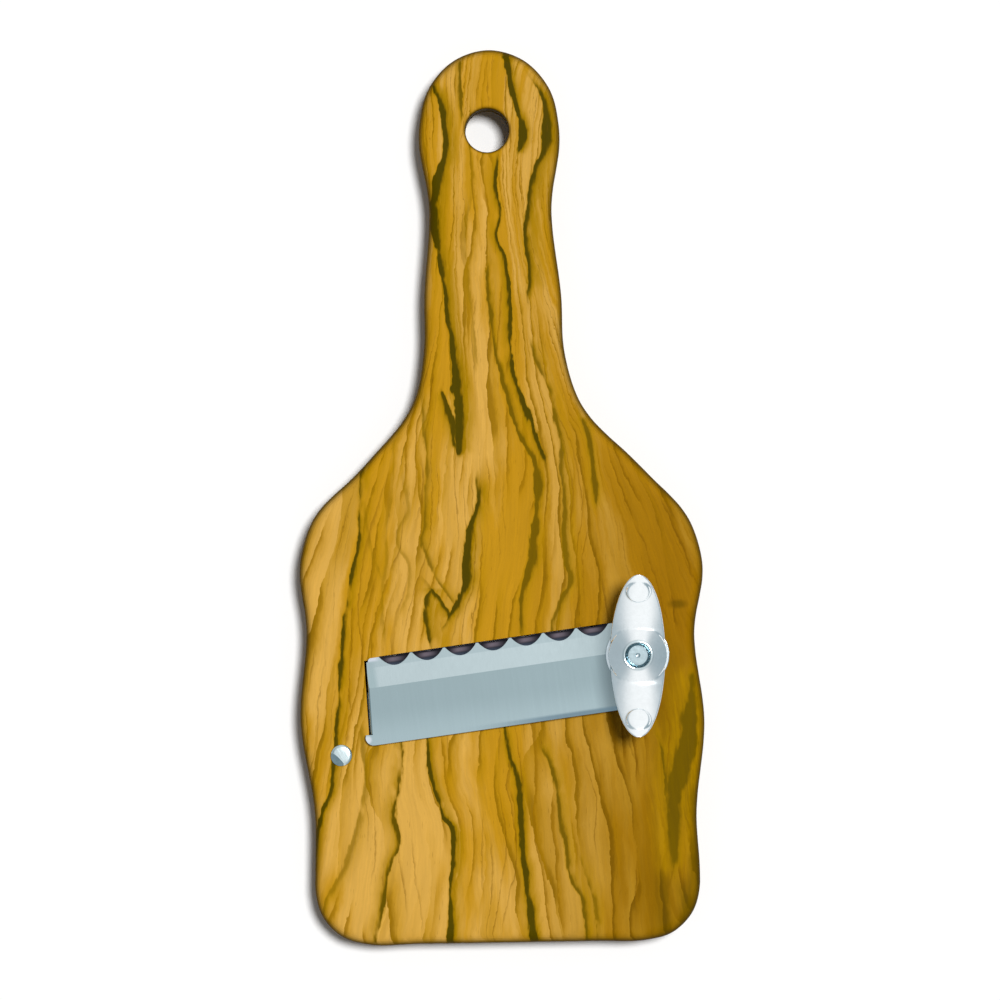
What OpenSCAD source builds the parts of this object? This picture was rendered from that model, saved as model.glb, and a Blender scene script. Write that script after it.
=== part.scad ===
// Truffle slicer: a hardwood board with a hanging handle and a scalloped steel blade over a slanting throat.
// A wing nut on a bolt sets how far the blade's right end stands off the board. The left end is turned down
// through a slit and hooks under the board, round a riveted pin, so the blade rocks on the slit's edge.
// It lies on its back: the blade faces +Z, the handle points to +Y and Z = 0 is the board's flat back.

/* [Board] */
// Length of the board, from the foot to the top of the knob
board_len = 223.2; // [215:0.2:235]
// Thickness of the board
board_t = 12; // [11.5:0.5:16]
// Radius of the rounding along the board's edges
edge_r = 3; // [1:0.25:4]
// Width of the knob at the end of the handle
knob_w = 35; // [31:0.5:40]
// Distance from the knob's top to its widest place
knob_drop = 19.7; // [16:0.1:24]
// Sideways place of the knob's middle, left of the board's middle
knob_left = 3.35; // [0:0.05:5]
// Width of the neck, the handle's narrowest place
neck_w = 30.6; // [26:0.1:34]
// Distance from the knob's top to the neck
neck_drop = 39.2; // [34:0.1:46]
// Sideways place of the neck's middle, left of the board's middle
neck_left = 3.05; // [0:0.05:5]
// Width of the grip, below the neck
grip_w = 34.3; // [30:0.1:40]
// Height of the grip above the foot
grip_h = 161; // [158:0.5:165]
// Sideways place of the grip's middle, left of the board's middle
grip_left = 2.4; // [0:0.05:5]
// Width at the handle's root, where it begins to flare
root_w = 35; // [31:0.1:40]
// Height of the handle's root above the foot
root_h = 148.5; // [145:0.5:152]
// Sideways place of the handle's root, left of the board's middle
root_left = 2.1; // [0:0.05:5]

/* [Shoulders and sides] */
// Width at the top of the flare
flare_top_w = 41; // [38:0.1:46]
// Height of the top of the flare above the foot
flare_top_h = 136; // [133:0.5:139]
// Width halfway down the flare
flare_mid_w = 69.8; // [65:0.1:75]
// Height of the middle of the flare above the foot
flare_mid_h = 119; // [116:0.5:122]
// Width at the bottom of the flare
flare_low_w = 94.6; // [90:0.1:98]
// Height of the bottom of the flare above the foot
flare_low_h = 105.3; // [103:0.1:108]
// Width across the shoulders
shoulder_w = 100.3; // [98:0.1:104]
// Height of the shoulders above the foot
shoulder_h = 95.6; // [92:0.1:99]
// Sideways place of the shoulders, left of the board's middle
shoulder_left = 0.3; // [0:0.05:2]
// Width of the upper waist
waist_w = 96.8; // [93:0.1:100]
// Height of the upper waist above the foot
waist_h = 78.5; // [75:0.5:82]
// Width of the belly, the board's widest place
belly_w = 100.8; // [98:0.1:106]
// Height of the belly above the foot
belly_h = 56; // [52:0.5:60]
// Width of the lower waist
hip_w = 95.2; // [92:0.1:99]
// Height of the lower waist above the foot
hip_h = 32; // [29:0.5:36]
// Sideways place of the lower waist, right of the board's middle
hip_right = 0.85; // [0:0.05:3]
// Width just above the foot's corners
foot_w = 96; // [92:0.1:100]
// Sideways place of the foot, right of the board's middle
foot_right = 1.3; // [0:0.05:3]
// Radius of the foot's two corners
corner_r = 14; // [8:0.5:15]
// How much higher the foot's right corner lies than its left one
foot_slant = 1.2; // [0:0.1:3]

/* [Hanging hole] */
// Diameter of the hanging hole
hole_d = 10.8; // [8:0.2:14]
// Distance from the knob's top to the hole's middle
hole_drop = 20.2; // [17:0.1:24]
// Sideways place of the hole, left of the knob's middle
hole_left = 0.5; // [0:0.1:2]
// Radius of the rounding of the hole's lips
lip_r = 1.2; // [0.4:0.1:2]

/* [Blade] */
// Distance from the blade's left end to the bolt
blade_reach = 68.5; // [66:0.5:70]
// Distance from the bolt to the blade's right end
blade_end = 5.4; // [5:0.1:6.5]
// Width of the blade
blade_w = 21.6; // [20.5:0.1:24]
// Distance from the bolt to the cutting edge
edge_out = 8.6; // [7:0.1:9]
// Thickness of the blade's steel
blade_t = 1.5; // [1:0.1:2]
// Thickness left at the cutting edge by the long ground bevel
edge_t = 0.9; // [0.5:0.05:0.95]
// Width of the long ground bevel
bevel_w = 7.4; // [6:0.1:12]
// Angle at which the blade lies across the board, rising to the right
blade_angle = 8.3; // [5:0.1:10]
// Angle by which the blade's left end is cut out of square
end_skew = 4.4; // [0:0.1:6]
// Radius of the left end's upper corner
end_left_r = 0.8; // [0.4:0.1:1.5]
// Radius of the right end's lower corner
end_low_r = 9; // [6:0.5:9]
// Radius of the right end's upper corner
end_high_r = 6; // [3:0.5:6]
// Distance between neighbouring scallops
scallop_pitch = 8.3; // [7:0.1:10]
// Width of one scallop at the cutting edge
scallop_w = 7.8; // [5:0.1:7.8]
// Depth of a scallop on the blade's top face
scallop_depth = 2.5; // [2:0.1:3.5]
// Depth of a scallop on the blade's underside
scallop_notch = 0.3; // [0.1:0.05:0.8]

/* [Turned-down end] */
// Outside radius of the fold
fold_r = 0.4; // [0.4:0.1:1.4]
// Height of the rounded ear that stays flat below the fold
ear_h = 2.7; // [2:0.1:4]
// How far the ear reaches past the fold
ear_out = 1.3; // [0.5:0.1:2]
// Corner radius of the ear
ear_r = 2; // [1:0.1:2]
// Width of the slit's visible gap, left of the fold
slit_left = 0.6; // [0.5:0.05:1]
// Room between the turned-down end and the slit's right wall
slit_right = 0.9; // [0.8:0.05:1.5]
// Room between the turned-down end and each end of the slit
slit_end = 0.4; // [0.35:0.05:1]
// Distance from the fold to the pin
pin_out = 7.8; // [7:0.1:10]
// Distance from the blade's lower corner down to the pin
pin_drop = 1.9; // [0:0.1:3]
// Radius of the hook's eye round the pin
eye_r = 4.2; // [3.8:0.1:5]
// Distance from the ear to the leg that goes down through the slit
leg_low = 0.2; // [0.1:0.05:0.5]
// Distance from the leg to the blade's upper corner
leg_high = 0.9; // [0.3:0.05:1]
// Room between the shut hook and the roof of its recess
hook_room = 0.3; // [0.25:0.05:0.5]
// Room under the hook, into which it drops as the blade opens
hook_drop = 1; // [0.9:0.05:1.4]
// Room round the hook in its recess
hook_side = 1.2; // [1:0.1:1.5]

/* [Pin] */
// Diameter of the pin's head
pin_head_d = 5.4; // [5:0.1:8]
// Height of the pin's head above the board
pin_head_h = 0.9; // [0.5:0.1:1.5]
// Diameter of the pin's shank
pin_d = 3.5; // [3:0.1:4]
// Room round the pin in the wood and in its washer, on the radius
pin_fit = 0.05; // [0.02:0.01:0.1]
// Room round the pin in the hook's eye
eye_room = 0.75; // [0.7:0.05:1]
// Diameter of the washer under the hook
pin_washer_d = 7.2; // [6.5:0.1:8]
// Thickness of the washer under the hook
pin_washer_t = 0.8; // [0.5:0.1:1]
// Diameter of the pin's riveted tail
pin_tail_d = 5.4; // [4.8:0.1:6]
// Height of the pin's riveted tail
pin_tail_h = 1.2; // [0.8:0.1:1.2]
// How far the riveted tail stays inside the back face
pin_tail_in = 0.4; // [0.2:0.1:0.6]

/* [Throat] */
// Gap between the blade's tips and the throat's upper wall, seen from above
throat_gap = 0.1; // [0.1:0.05:1.5]
// Width of the throat at the front face
throat_front_w = 9; // [6:0.5:10]
// Width of the throat at the back face
throat_back_w = 16; // [10:0.5:18]
// Depth to which the throat's lower wall is straight, before it slants to the back
throat_lip = 3; // [2:0.5:4]
// Plain edge of the blade left of the throat
throat_start = 4.8; // [4.5:0.1:6]
// Wood left between the throat and the spring's pocket
throat_wall = 1.5; // [1:0.1:2.5]

/* [Adjusting bolt and spring] */
// Sideways place of the bolt, right of the board's middle
bolt_x = 33.5; // [31:0.25:35]
// Height of the bolt above the foot
bolt_h = 72.6; // [68:0.2:76]
// Diameter of the bolt
bolt_d = 6; // [5:0.5:6]
// Diameter of the bolt's head
bolt_head_d = 15; // [12:0.5:16]
// Height of the bolt's head
bolt_head_h = 2.8; // [2:0.1:3]
// Height of the square neck above the head
bolt_neck_h = 3; // [2:0.1:3.2]
// Room round the bolt's head and neck in the wood
bolt_room = 0.05; // [0.02:0.01:0.2]
// How far the bolt's head stays inside the back face
bolt_head_in = 0.2; // [0.1:0.1:0.5]
// Depth of the spring's pocket
pocket_depth = 4.5; // [3.5:0.1:4.8]
// Diameter of the spring's wire
wire_d = 0.8; // [0.6:0.05:0.9]
// Room between the bolt and the spring, and between the spring and its pocket
spring_room = 0.35; // [0.2:0.05:0.5]
// Play at each end of the spring
spring_play = 0.05; // [0.05:0.05:0.15]
// Least gap that is left between the spring's turns
coil_gap = 0.5; // [0.45:0.05:1]
// Room round the bolt in the blade's hole
blade_room = 0.5; // [0.4:0.05:0.7]
// Gap under the blade at the bolt when the nut is tight
shut_gap = 0.3; // [0.3:0.05:0.6]
// Gap under the blade at the bolt as it lies here
open_gap = 1.3; // [1:0.1:2]

/* [Wing nut and its washer] */
// Diameter of the washer under the wing nut
washer_d = 15.8; // [13:0.1:17]
// Thickness of the washer
washer_t = 1.4; // [0.8:0.1:2]
// Room round the bolt in the washer, on the radius
washer_fit = 0.3; // [0.1:0.05:0.5]
// Play between the blade and the washer
washer_play = 0.35; // [0.35:0.05:0.5]
// Play between the washer and the wing nut
nut_play = 0.1; // [0.05:0.05:0.2]
// Running clearance round the bolt in the nut, on the radius
nut_room = 0.05; // [0.02:0.01:0.1]
// Diameter of the hub's foot
hub_d = 14.4; // [12:0.1:15]
// Diameter of the hub's flat top
hub_top_d = 7.6; // [7.2:0.1:9]
// Height of the hub
hub_h = 6; // [5.6:0.1:8]
// Height of the hub's upright side, above which it is a low dome
hub_side_h = 4.4; // [3.6:0.1:5]
// How far the bolt's end stays below the hub's top
bolt_end_in = 0.25; // [0.1:0.05:0.4]
// Length from wing tip to wing tip
wing_span = 40.2; // [36:0.2:46]
// Width of the wings where they leave the hub
wing_w = 13.8; // [11:0.1:14]
// Thickness of the wings
wing_t = 2.4; // [1.8:0.1:3]
// Height above the hub's foot at which the wings' upper faces leave the hub
wing_root_h = 4.8; // [4:0.1:5.4]
// Distance from the bolt to the crease where the wings start to rise
crease_out = 6.8; // [6:0.1:8]
// Height of the wings' tips above the hub's foot
wing_rise = 12; // [10:0.5:15]
// Diameter of the round finger pads
pad_d = 5.8; // [4:0.1:6.5]
// Height of the finger pads
pad_h = 0.8; // [0.4:0.1:1.2]
// Distance from the bolt to each pad's middle
pad_out = 15.8; // [13:0.1:16]

/* [Hidden] */
$fn = 64;

// Small overlap that lets cutters run past the faces they cut
over = 1;

// Steps of the smooth outline between two stations, and of the quarter round along the edges
outline_steps = 4;
round_steps = 4;

// Stations down the board: height above the foot, width, shift to the right
stations = [
  [board_len - neck_drop, neck_w, -neck_left],
  [grip_h, grip_w, -grip_left],
  [root_h, root_w, -root_left],
  [flare_top_h, flare_top_w, -root_left * 2 / 3],
  [flare_mid_h, flare_mid_w, 0],
  [flare_low_h, flare_low_w, -shoulder_left],
  [shoulder_h, shoulder_w, -shoulder_left],
  [waist_h, waist_w, -root_left / 4],
  [belly_h, belly_w, 0],
  [hip_h, hip_w, hip_right],
  [corner_r + 4, foot_w, foot_right]
];

knob_y = board_len - knob_drop;
foot_right_x = foot_right + foot_w / 2;
foot_left_x = foot_right - foot_w / 2;

function arc(middle, r, from, to, steps) = [
  for (k = [0:steps])
    let (a = from + (to - from) * k / steps) middle + r * [cos(a), sin(a)]
];

// The knob is half an ellipse, read clockwise from its left side to its right side
knob_points = [
  for (a = [180:-30:0]) [-knob_left + knob_w / 2 * cos(a), knob_y + knob_drop * sin(a)]
];

right_corner = arc([foot_right_x - corner_r, foot_slant + corner_r], corner_r, 0, -90, 3);
left_corner = arc([foot_left_x + corner_r, corner_r], corner_r, -90, -180, 3);
foot_line = [
  for (t = [0.15, 0.5, 0.85])
    [foot_right_x - corner_r - t * (foot_w - 2 * corner_r), foot_slant * (1 - t)]
];

outline_points = concat(
  knob_points,
  [for (s = stations) [s[2] + s[1] / 2, s[0]]],
  right_corner,
  foot_line,
  left_corner,
  [for (i = [len(stations) - 1:-1:0]) [stations[i][2] - stations[i][1] / 2, stations[i][0]]]
);

// A smooth closed curve through the points, with each tangent weighted by the distances to its neighbours
function around(points, i) = points[(i + len(points)) % len(points)];
function step_len(points, i) = norm(around(points, i + 1) - around(points, i));
function slope_at(points, i) =
  let (before = step_len(points, i - 1), after = step_len(points, i))
  ((around(points, i) - around(points, i - 1)) / before * after
    + (around(points, i + 1) - around(points, i)) / after * before) / (before + after);
function on_curve(points, i, t) =
  let (span = step_len(points, i))
  (2 * t * t * t - 3 * t * t + 1) * around(points, i)
    + (t * t * t - 2 * t * t + t) * span * slope_at(points, i)
    + (3 * t * t - 2 * t * t * t) * around(points, i + 1)
    + (t * t * t - t * t) * span * slope_at(points, i + 1);
outline = [
  for (i = [0:len(outline_points) - 1])
    for (k = [0:outline_steps - 1]) on_curve(outline_points, i, k / outline_steps)
];

// The model's origin is under the middle of the outline
mid_x = (max([for (p = outline) p[0]]) + min([for (p = outline) p[0]])) / 2;
mid_y = (max([for (p = outline) p[1]]) + min([for (p = outline) p[1]])) / 2;

// Heights, from the board's back upwards
blade_base = board_t + shut_gap;
foot_bottom = pin_tail_in + pin_tail_h + pin_washer_t + hook_drop;
recess_top = foot_bottom + blade_t + hook_room;
leg_drop = blade_base - foot_bottom;
pocket_floor = board_t - pocket_depth;
washer_z = board_t + open_gap + blade_t + washer_play;
nut_z = washer_z + washer_t + nut_play;
bolt_top = nut_z + hub_h - bolt_end_in;

// The blade's own frame has its origin on the bolt, X along the blade and Y towards the cutting edge
edge_y = edge_out;
heel_y = edge_out - blade_w;
hinge_in = blade_t + slit_right;

// A point of the turned-down end, given from the blade's lower left corner, in the blade's frame
function from_fold(p) = [
  -blade_reach + p[0] * cos(end_skew) + p[1] * sin(end_skew),
  heel_y - p[0] * sin(end_skew) + p[1] * cos(end_skew)
];
end_top = blade_w / cos(end_skew);
leg_y0 = ear_h + leg_low;
leg_y1 = end_top - leg_high;

// The blade's lift at the bolt tilts it about the slit's right edge
lever = blade_reach * cos(end_skew) + heel_y * sin(end_skew) - hinge_in;
rest_tilt = asin((open_gap - shut_gap) / lever);

// Scallops are ground by a round wheel whose axis lies nearly along the blade's face
bevel_slope = (blade_t - edge_t) / bevel_w;
scallop_top = edge_t + scallop_depth * bevel_slope;
wheel_tilt = atan((scallop_depth - scallop_notch) / scallop_top);
tip_depth = (scallop_depth - scallop_depth * bevel_slope * tan(wheel_tilt)) * cos(wheel_tilt);
wheel_r = (pow(scallop_w / 2, 2) + pow(tip_depth, 2)) / (2 * tip_depth);

// The spring fits between the bolt and its pocket
spring_r = bolt_d / 2 + spring_room + wire_d / 2;
pocket_r = spring_r + wire_d / 2 + spring_room;
spring_z0 = pocket_floor + wire_d / 2 + spring_play;
spring_z1 = board_t + open_gap - pocket_r * tan(rest_tilt) - wire_d / 2 - spring_play;
spring_turns = floor(2 * (spring_z1 - spring_z0) / (wire_d + coil_gap)) / 2;
wire_sides = 6;
rings_per_turn = 16;

// The throat runs from the plain edge at the left to the wood beside the spring's pocket
throat_x0 = -blade_reach + throat_start;
throat_x1 = -pocket_r - throat_wall;
throat_len = throat_x1 - throat_x0;
throat_y1 = edge_y + throat_gap;
scallops = floor((throat_len + scallop_pitch - scallop_w) / scallop_pitch);
first_scallop = throat_x0 + (throat_len - (scallops - 1) * scallop_pitch) / 2;

// Puts a piece that is given from the foot's middle into the model's frame
module placed() {
  translate([-mid_x, -mid_y, 0]) children();
}

module at_bolt() {
  placed() translate([bolt_x, bolt_h, 0]) children();
}

// X along the blade, Y towards its cutting edge, origin at the bolt on the board's back
module on_blade_line() {
  at_bolt() rotate(blade_angle) children();
}

// X square to the blade's left end, Y up along that end, origin at its lower corner
module at_fold() {
  translate([-blade_reach, heel_y, 0]) rotate(-end_skew) children();
}

// Lifts the shut blade by its rest tilt, about the slit's right edge
module opened() {
  translate([-blade_reach, heel_y, blade_base])
    rotate(-end_skew)
      translate([hinge_in, 0, 0])
        rotate([0, -rest_tilt, 0])
          translate([-hinge_in, 0, 0])
            rotate(end_skew)
              translate([blade_reach, -heel_y, 0])
                children();
}

// Draws a profile given as (Y, Z) and extrudes it along X
module along_x(len) {
  rotate([90, 0, 90]) linear_extrude(len) children();
}

// The outline drawn in by d along its own normals
function inset(d) = [
  for (i = [0:len(outline) - 1])
    let (run = around(outline, i + 1) - around(outline, i - 1))
      outline[i] + d / norm(run) * [run[1], -run[0]]
];

// Rings of the rounded slab, from the back to the front: height and inset
quarter = [for (k = [0:round_steps]) 90 * k / round_steps];
slab_rings = concat(
  [for (a = quarter) [edge_r * (1 - cos(a)), edge_r * (1 - sin(a))]],
  [for (k = [round_steps:-1:0]) [board_t - edge_r * (1 - cos(quarter[k])), edge_r * (1 - sin(quarter[k]))]]
);

// Triangles across the slab between two stretches of the outline, from the points first and last inwards
function across(first, last, steps) = [
  for (m = [0:steps - 1])
    let (a = first + m, d = last - m)
      for (half = [0, 1])
        if (half == 0 || d - 1 > a + 1) half == 0 ? [a, a + 1, d] : [a + 1, d - 1, d]
];

// Triangles that spread from one point of the outline over a stretch that bulges outwards
function spread(first, last) = [for (k = [first + 1:last - 1]) [first, k, k + 1]];

module rounded_slab() {
  count = len(outline);
  knob_count = (len(knob_points) - 1) * outline_steps;
  points = [for (ring = slab_rings) for (p = inset(ring[1])) [p[0], p[1], ring[0]]];
  walls = [
    for (j = [0:len(slab_rings) - 2])
      for (i = [0:count - 1])
        let (a = j * count + i, b = j * count + (i + 1) % count)
          for (half = [0, 1]) half == 0 ? [b, b + count, a + count] : [b, a + count, a]
  ];
  side_count = (len(stations) + 1) * outline_steps;
  cap = concat(
    across(0, knob_count, knob_count / 2),
    across(knob_count, count, side_count),
    spread(knob_count + side_count, count - side_count)
  );
  front_start = (len(slab_rings) - 1) * count;
  front = [for (t = cap) [for (i = t) front_start + i % count]];
  back = [for (t = cap) [t[2] % count, t[1] % count, t[0] % count]];
  polyhedron(points, concat(walls, back, front));
}

// Cutter that rounds one lip of the hanging hole, at height 0
module lip_cutter() {
  rotate_extrude() difference() {
    translate([hole_d / 2 - over, -lip_r]) square([lip_r + over, lip_r + over]);
    translate([hole_d / 2 + lip_r, -lip_r]) circle(lip_r);
  }
}

module hanging_hole() {
  translate([-knob_left - hole_left, board_len - hole_drop, 0]) {
    translate([0, 0, -over]) cylinder(h = board_t + 2 * over, d = hole_d);
    translate([0, 0, board_t]) lip_cutter();
    mirror([0, 0, 1]) lip_cutter();
  }
}

module throat() {
  translate([throat_x0, 0, 0]) along_x(throat_len) polygon([
    [throat_y1, -over],
    [throat_y1, board_t + over],
    [throat_y1 - throat_front_w, board_t + over],
    [throat_y1 - throat_front_w, board_t - throat_lip],
    [throat_y1 - throat_back_w, 0],
    [throat_y1 - throat_back_w, -over]
  ]);
}

// Outline of the hook under the board, from the fold to the eye round the pin
module hook_shape(room) {
  run = [blade_t / 2 + pin_out, (leg_y0 + leg_y1) / 3 + pin_drop];
  intersection() {
    union() {
      translate([-pin_out, -pin_drop]) circle(eye_r + room);
      translate([-pin_out, -pin_drop])
        rotate(atan2(run[1], run[0]))
          translate([0, -eye_r - room])
            square([norm(run) + eye_r, 2 * (eye_r + room)]);
    }
    translate([-blade_reach, -blade_reach]) square([blade_reach + blade_t + room, 2 * blade_reach]);
  }
}

module slit_and_recess() {
  translate([-slit_left, leg_y0 - slit_end, -over])
    cube([slit_left + hinge_in, leg_y1 - leg_y0 + 2 * slit_end, board_t + 2 * over]);
  translate([0, 0, -over]) linear_extrude(recess_top + over) hook_shape(hook_side);
  translate([-pin_out, -pin_drop, 0]) cylinder(h = board_t + over, d = pin_d + 2 * pin_fit);
}

module bolt_holes() {
  side = bolt_d + 2 * bolt_room;
  translate([0, 0, -over]) cylinder(h = bolt_head_in + bolt_head_h + over, d = bolt_head_d + 2 * bolt_room);
  translate([-side / 2, -side / 2, 0]) cube([side, side, board_t]);
  translate([0, 0, pocket_floor]) cylinder(h = pocket_depth + over, r = pocket_r);
}

module board() {
  color([0.78, 0.58, 0.18]) difference() {
    placed() rounded_slab();
    placed() hanging_hole();
    on_blade_line() {
      throat();
      bolt_holes();
      at_fold() slit_and_recess();
    }
  }
}

// Outline of the blade's flat part, in the blade's frame
ear_middle = [-blade_reach - ear_out + ear_r, heel_y + ear_r];
corner_x = fold_r + end_left_r;
corner_y = (blade_w - end_left_r + corner_x * sin(end_skew)) / cos(end_skew);
blade_outline = concat(
  arc(ear_middle, ear_r, 180 - end_skew, 270, 6),
  arc([blade_end - end_low_r, heel_y + end_low_r], end_low_r, -90, 0, 10),
  arc([blade_end - end_high_r, edge_y - end_high_r], end_high_r, 0, 90, 8),
  arc(from_fold([corner_x, corner_y]), end_left_r, 90, 180 - end_skew, 4),
  [from_fold([fold_r, ear_h]), from_fold([-ear_out, ear_h])]
);

module scallop() {
  translate([0, edge_y - scallop_depth, scallop_top])
    rotate([wheel_tilt, 0, 0])
      translate([0, wheel_r, 0])
        cylinder(h = 6 * wheel_r, r = wheel_r, center = true);
}

// Cutter for the long bevel, past both ends of the blade
module long_bevel() {
  translate([-blade_reach - over, 0, 0])
    along_x(blade_reach + blade_end + 2 * over)
      polygon([
        [edge_y - bevel_w, blade_t],
        [edge_y + over, edge_t - over * bevel_slope],
        [edge_y + over, blade_t + over],
        [edge_y - bevel_w, blade_t + over]
      ]);
}

module blade_plate() {
  difference() {
    linear_extrude(blade_t) polygon(blade_outline);
    for (k = [0:scallops - 1]) translate([first_scallop + k * scallop_pitch, 0, 0]) scallop();
    translate([0, 0, -over]) cylinder(h = blade_t + 2 * over, d = bolt_d + 2 * blade_room);
  }
}

// The fold and the leg that goes down through the slit
module turned_end() {
  profile = concat(
    [[0, -leg_drop], [blade_t, -leg_drop], [blade_t, 0], [blade_t + fold_r, 0], [blade_t + fold_r, blade_t]],
    arc([fold_r, blade_t - fold_r], fold_r, 90, 180, 6)
  );
  translate([0, leg_y1, 0]) rotate([90, 0, 0]) linear_extrude(leg_y1 - leg_y0) polygon(profile);
}

module hook() {
  translate([0, 0, -leg_drop]) linear_extrude(blade_t) difference() {
    hook_shape(0);
    translate([-pin_out, -pin_drop]) circle(pin_d / 2 + eye_room);
  }
}

module blade() {
  color([0.68, 0.75, 0.77]) on_blade_line() opened() difference() {
    union() {
      blade_plate();
      at_fold() {
        turned_end();
        hook();
      }
    }
    long_bevel();
  }
}

module adjusting_bolt() {
  head_top = bolt_head_in + bolt_head_h;
  chamfer = bolt_d / 10;
  color([0.7, 0.72, 0.74]) on_blade_line() {
    translate([0, 0, bolt_head_in])
      cylinder(h = bolt_head_h / 2, d1 = bolt_head_d - bolt_head_h, d2 = bolt_head_d);
    translate([0, 0, bolt_head_in + bolt_head_h / 2]) cylinder(h = bolt_head_h / 2, d = bolt_head_d);
    translate([-bolt_d / 2, -bolt_d / 2, head_top - 0.5]) cube([bolt_d, bolt_d, bolt_neck_h + 0.5]);
    difference() {
      union() {
        translate([0, 0, head_top]) cylinder(h = bolt_top - chamfer - head_top, d = bolt_d);
        translate([0, 0, bolt_top - chamfer]) cylinder(h = chamfer, d1 = bolt_d, d2 = bolt_d - 2 * chamfer);
      }
      translate([0, 0, bolt_top - chamfer]) cylinder(h = chamfer * 2, d1 = 0, d2 = chamfer * 4);
    }
  }
}

// Middles of the spring's rings, from the pocket's floor up
spring_rings = floor(spring_turns * rings_per_turn);
spring_middles = [
  for (j = [0:spring_rings])
    let (a = 360 * j / rings_per_turn, z = spring_z0 + (spring_z1 - spring_z0) * j / spring_rings)
      [spring_r * cos(a), spring_r * sin(a), z]
];
spring_gap = min([
  for (j = [0:spring_rings - rings_per_turn]) norm(spring_middles[j + rings_per_turn] - spring_middles[j])
]) - wire_d;
echo(spring_turns = spring_turns, spring_gap = spring_gap);

module lift_spring() {
  points = [
    for (j = [0:spring_rings])
      let (a = 360 * j / rings_per_turn)
        for (k = [0:wire_sides - 1])
          let (b = 360 * k / wire_sides)
            spring_middles[j] + wire_d / 2 * [cos(b) * cos(a), cos(b) * sin(a), sin(b)]
  ];
  walls = [
    for (j = [0:spring_rings - 1])
      for (k = [0:wire_sides - 1])
        let (p = j * wire_sides + k, q = j * wire_sides + (k + 1) % wire_sides)
          for (half = [0, 1]) half == 0 ? [p, q, q + wire_sides] : [p, q + wire_sides, p + wire_sides]
  ];
  first = [for (k = [wire_sides - 1:-1:0]) k];
  last = [for (k = [0:wire_sides - 1]) spring_rings * wire_sides + k];
  color([0.6, 0.62, 0.64]) at_bolt() polyhedron(points, concat(walls, [first], [last]));
}

module nut_washer() {
  color([0.72, 0.76, 0.8]) at_bolt() translate([0, 0, washer_z]) difference() {
    cylinder(h = washer_t, d = washer_d);
    translate([0, 0, -over]) cylinder(h = washer_t + 2 * over, d = bolt_d + 2 * washer_fit);
  }
}

// Height and slope of a wing's upper face at distance d from the bolt
wing_run = wing_span / 2 - crease_out;
function wing_z(d) = wing_root_h + (wing_rise - wing_root_h) * pow(max(d - crease_out, 0) / wing_run, 1.35);
function wing_slope(d) = atan((wing_z(d + 0.1) - wing_z(d - 0.1)) / 0.2);
wing_stops = concat([hub_top_d / 2], [for (k = [0:12]) crease_out + (wing_run + over) * k / 12]);

module wing() {
  intersection() {
    linear_extrude(3 * wing_rise) polygon([
      for (a = [0:7.5:352.5]) [wing_w / 2 * cos(a), wing_span / 2 * sin(a)]
    ]);
    translate([-wing_w, 0, 0]) along_x(2 * wing_w) polygon(concat(
      [for (d = wing_stops) [d, wing_z(d) - wing_t]],
      [for (k = [13:-1:0]) [wing_stops[k], wing_z(wing_stops[k])]]
    ));
  }
  translate([0, pad_out, wing_z(pad_out)]) rotate([wing_slope(pad_out), 0, 0]) rotate_extrude() polygon([
    [0, -wing_t / 2],
    [pad_d / 2, -wing_t / 2],
    [pad_d / 2, pad_h * 0.4],
    [pad_d * 0.44, pad_h * 0.75],
    [pad_d * 0.3, pad_h * 0.95],
    [0, pad_h]
  ]);
}

module wing_nut() {
  bore_r = bolt_d / 2 + nut_room;
  dome = [
    for (k = [0:5])
      let (t = k / 5)
        [hub_d / 2 - (hub_d - hub_top_d) / 2 * t, hub_side_h + (hub_h - hub_side_h) * (1 - pow(1 - t, 1.4))]
  ];
  color([0.84, 0.88, 0.9]) at_bolt() translate([0, 0, nut_z]) {
    rotate_extrude() polygon(concat(
      [[bore_r, 0], [hub_d / 2 - 0.4, 0], [hub_d / 2, 0.5]],
      dome,
      [[bore_r + 0.4, hub_h], [bore_r, hub_h - 0.4]]
    ));
    wing();
    mirror([0, 1, 0]) wing();
  }
}

module fixing_pin() {
  color([0.78, 0.82, 0.82]) on_blade_line() at_fold() translate([-pin_out, -pin_drop, 0]) {
    translate([0, 0, pin_tail_in]) cylinder(h = pin_tail_h, d = pin_tail_d);
    translate([0, 0, pin_tail_in]) cylinder(h = board_t - pin_tail_in + pin_head_h / 2, d = pin_d);
    translate([0, 0, board_t]) cylinder(h = pin_head_h * 0.6, d = pin_head_d);
    translate([0, 0, board_t + pin_head_h * 0.6])
      cylinder(h = pin_head_h * 0.4, d1 = pin_head_d, d2 = pin_head_d - pin_head_h);
  }
}

module pin_washer() {
  color([0.7, 0.72, 0.7]) on_blade_line() at_fold()
    translate([-pin_out, -pin_drop, pin_tail_in + pin_tail_h]) difference() {
      cylinder(h = pin_washer_t, d = pin_washer_d);
      translate([0, 0, -over]) cylinder(h = pin_washer_t + 2 * over, d = pin_d + 2 * pin_fit);
    }
}

board();
blade();
adjusting_bolt();
lift_spring();
nut_washer();
wing_nut();
fixing_pin();
pin_washer();
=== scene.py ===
import math

import bmesh
import bpy
from mathutils import Matrix, Vector


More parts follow.
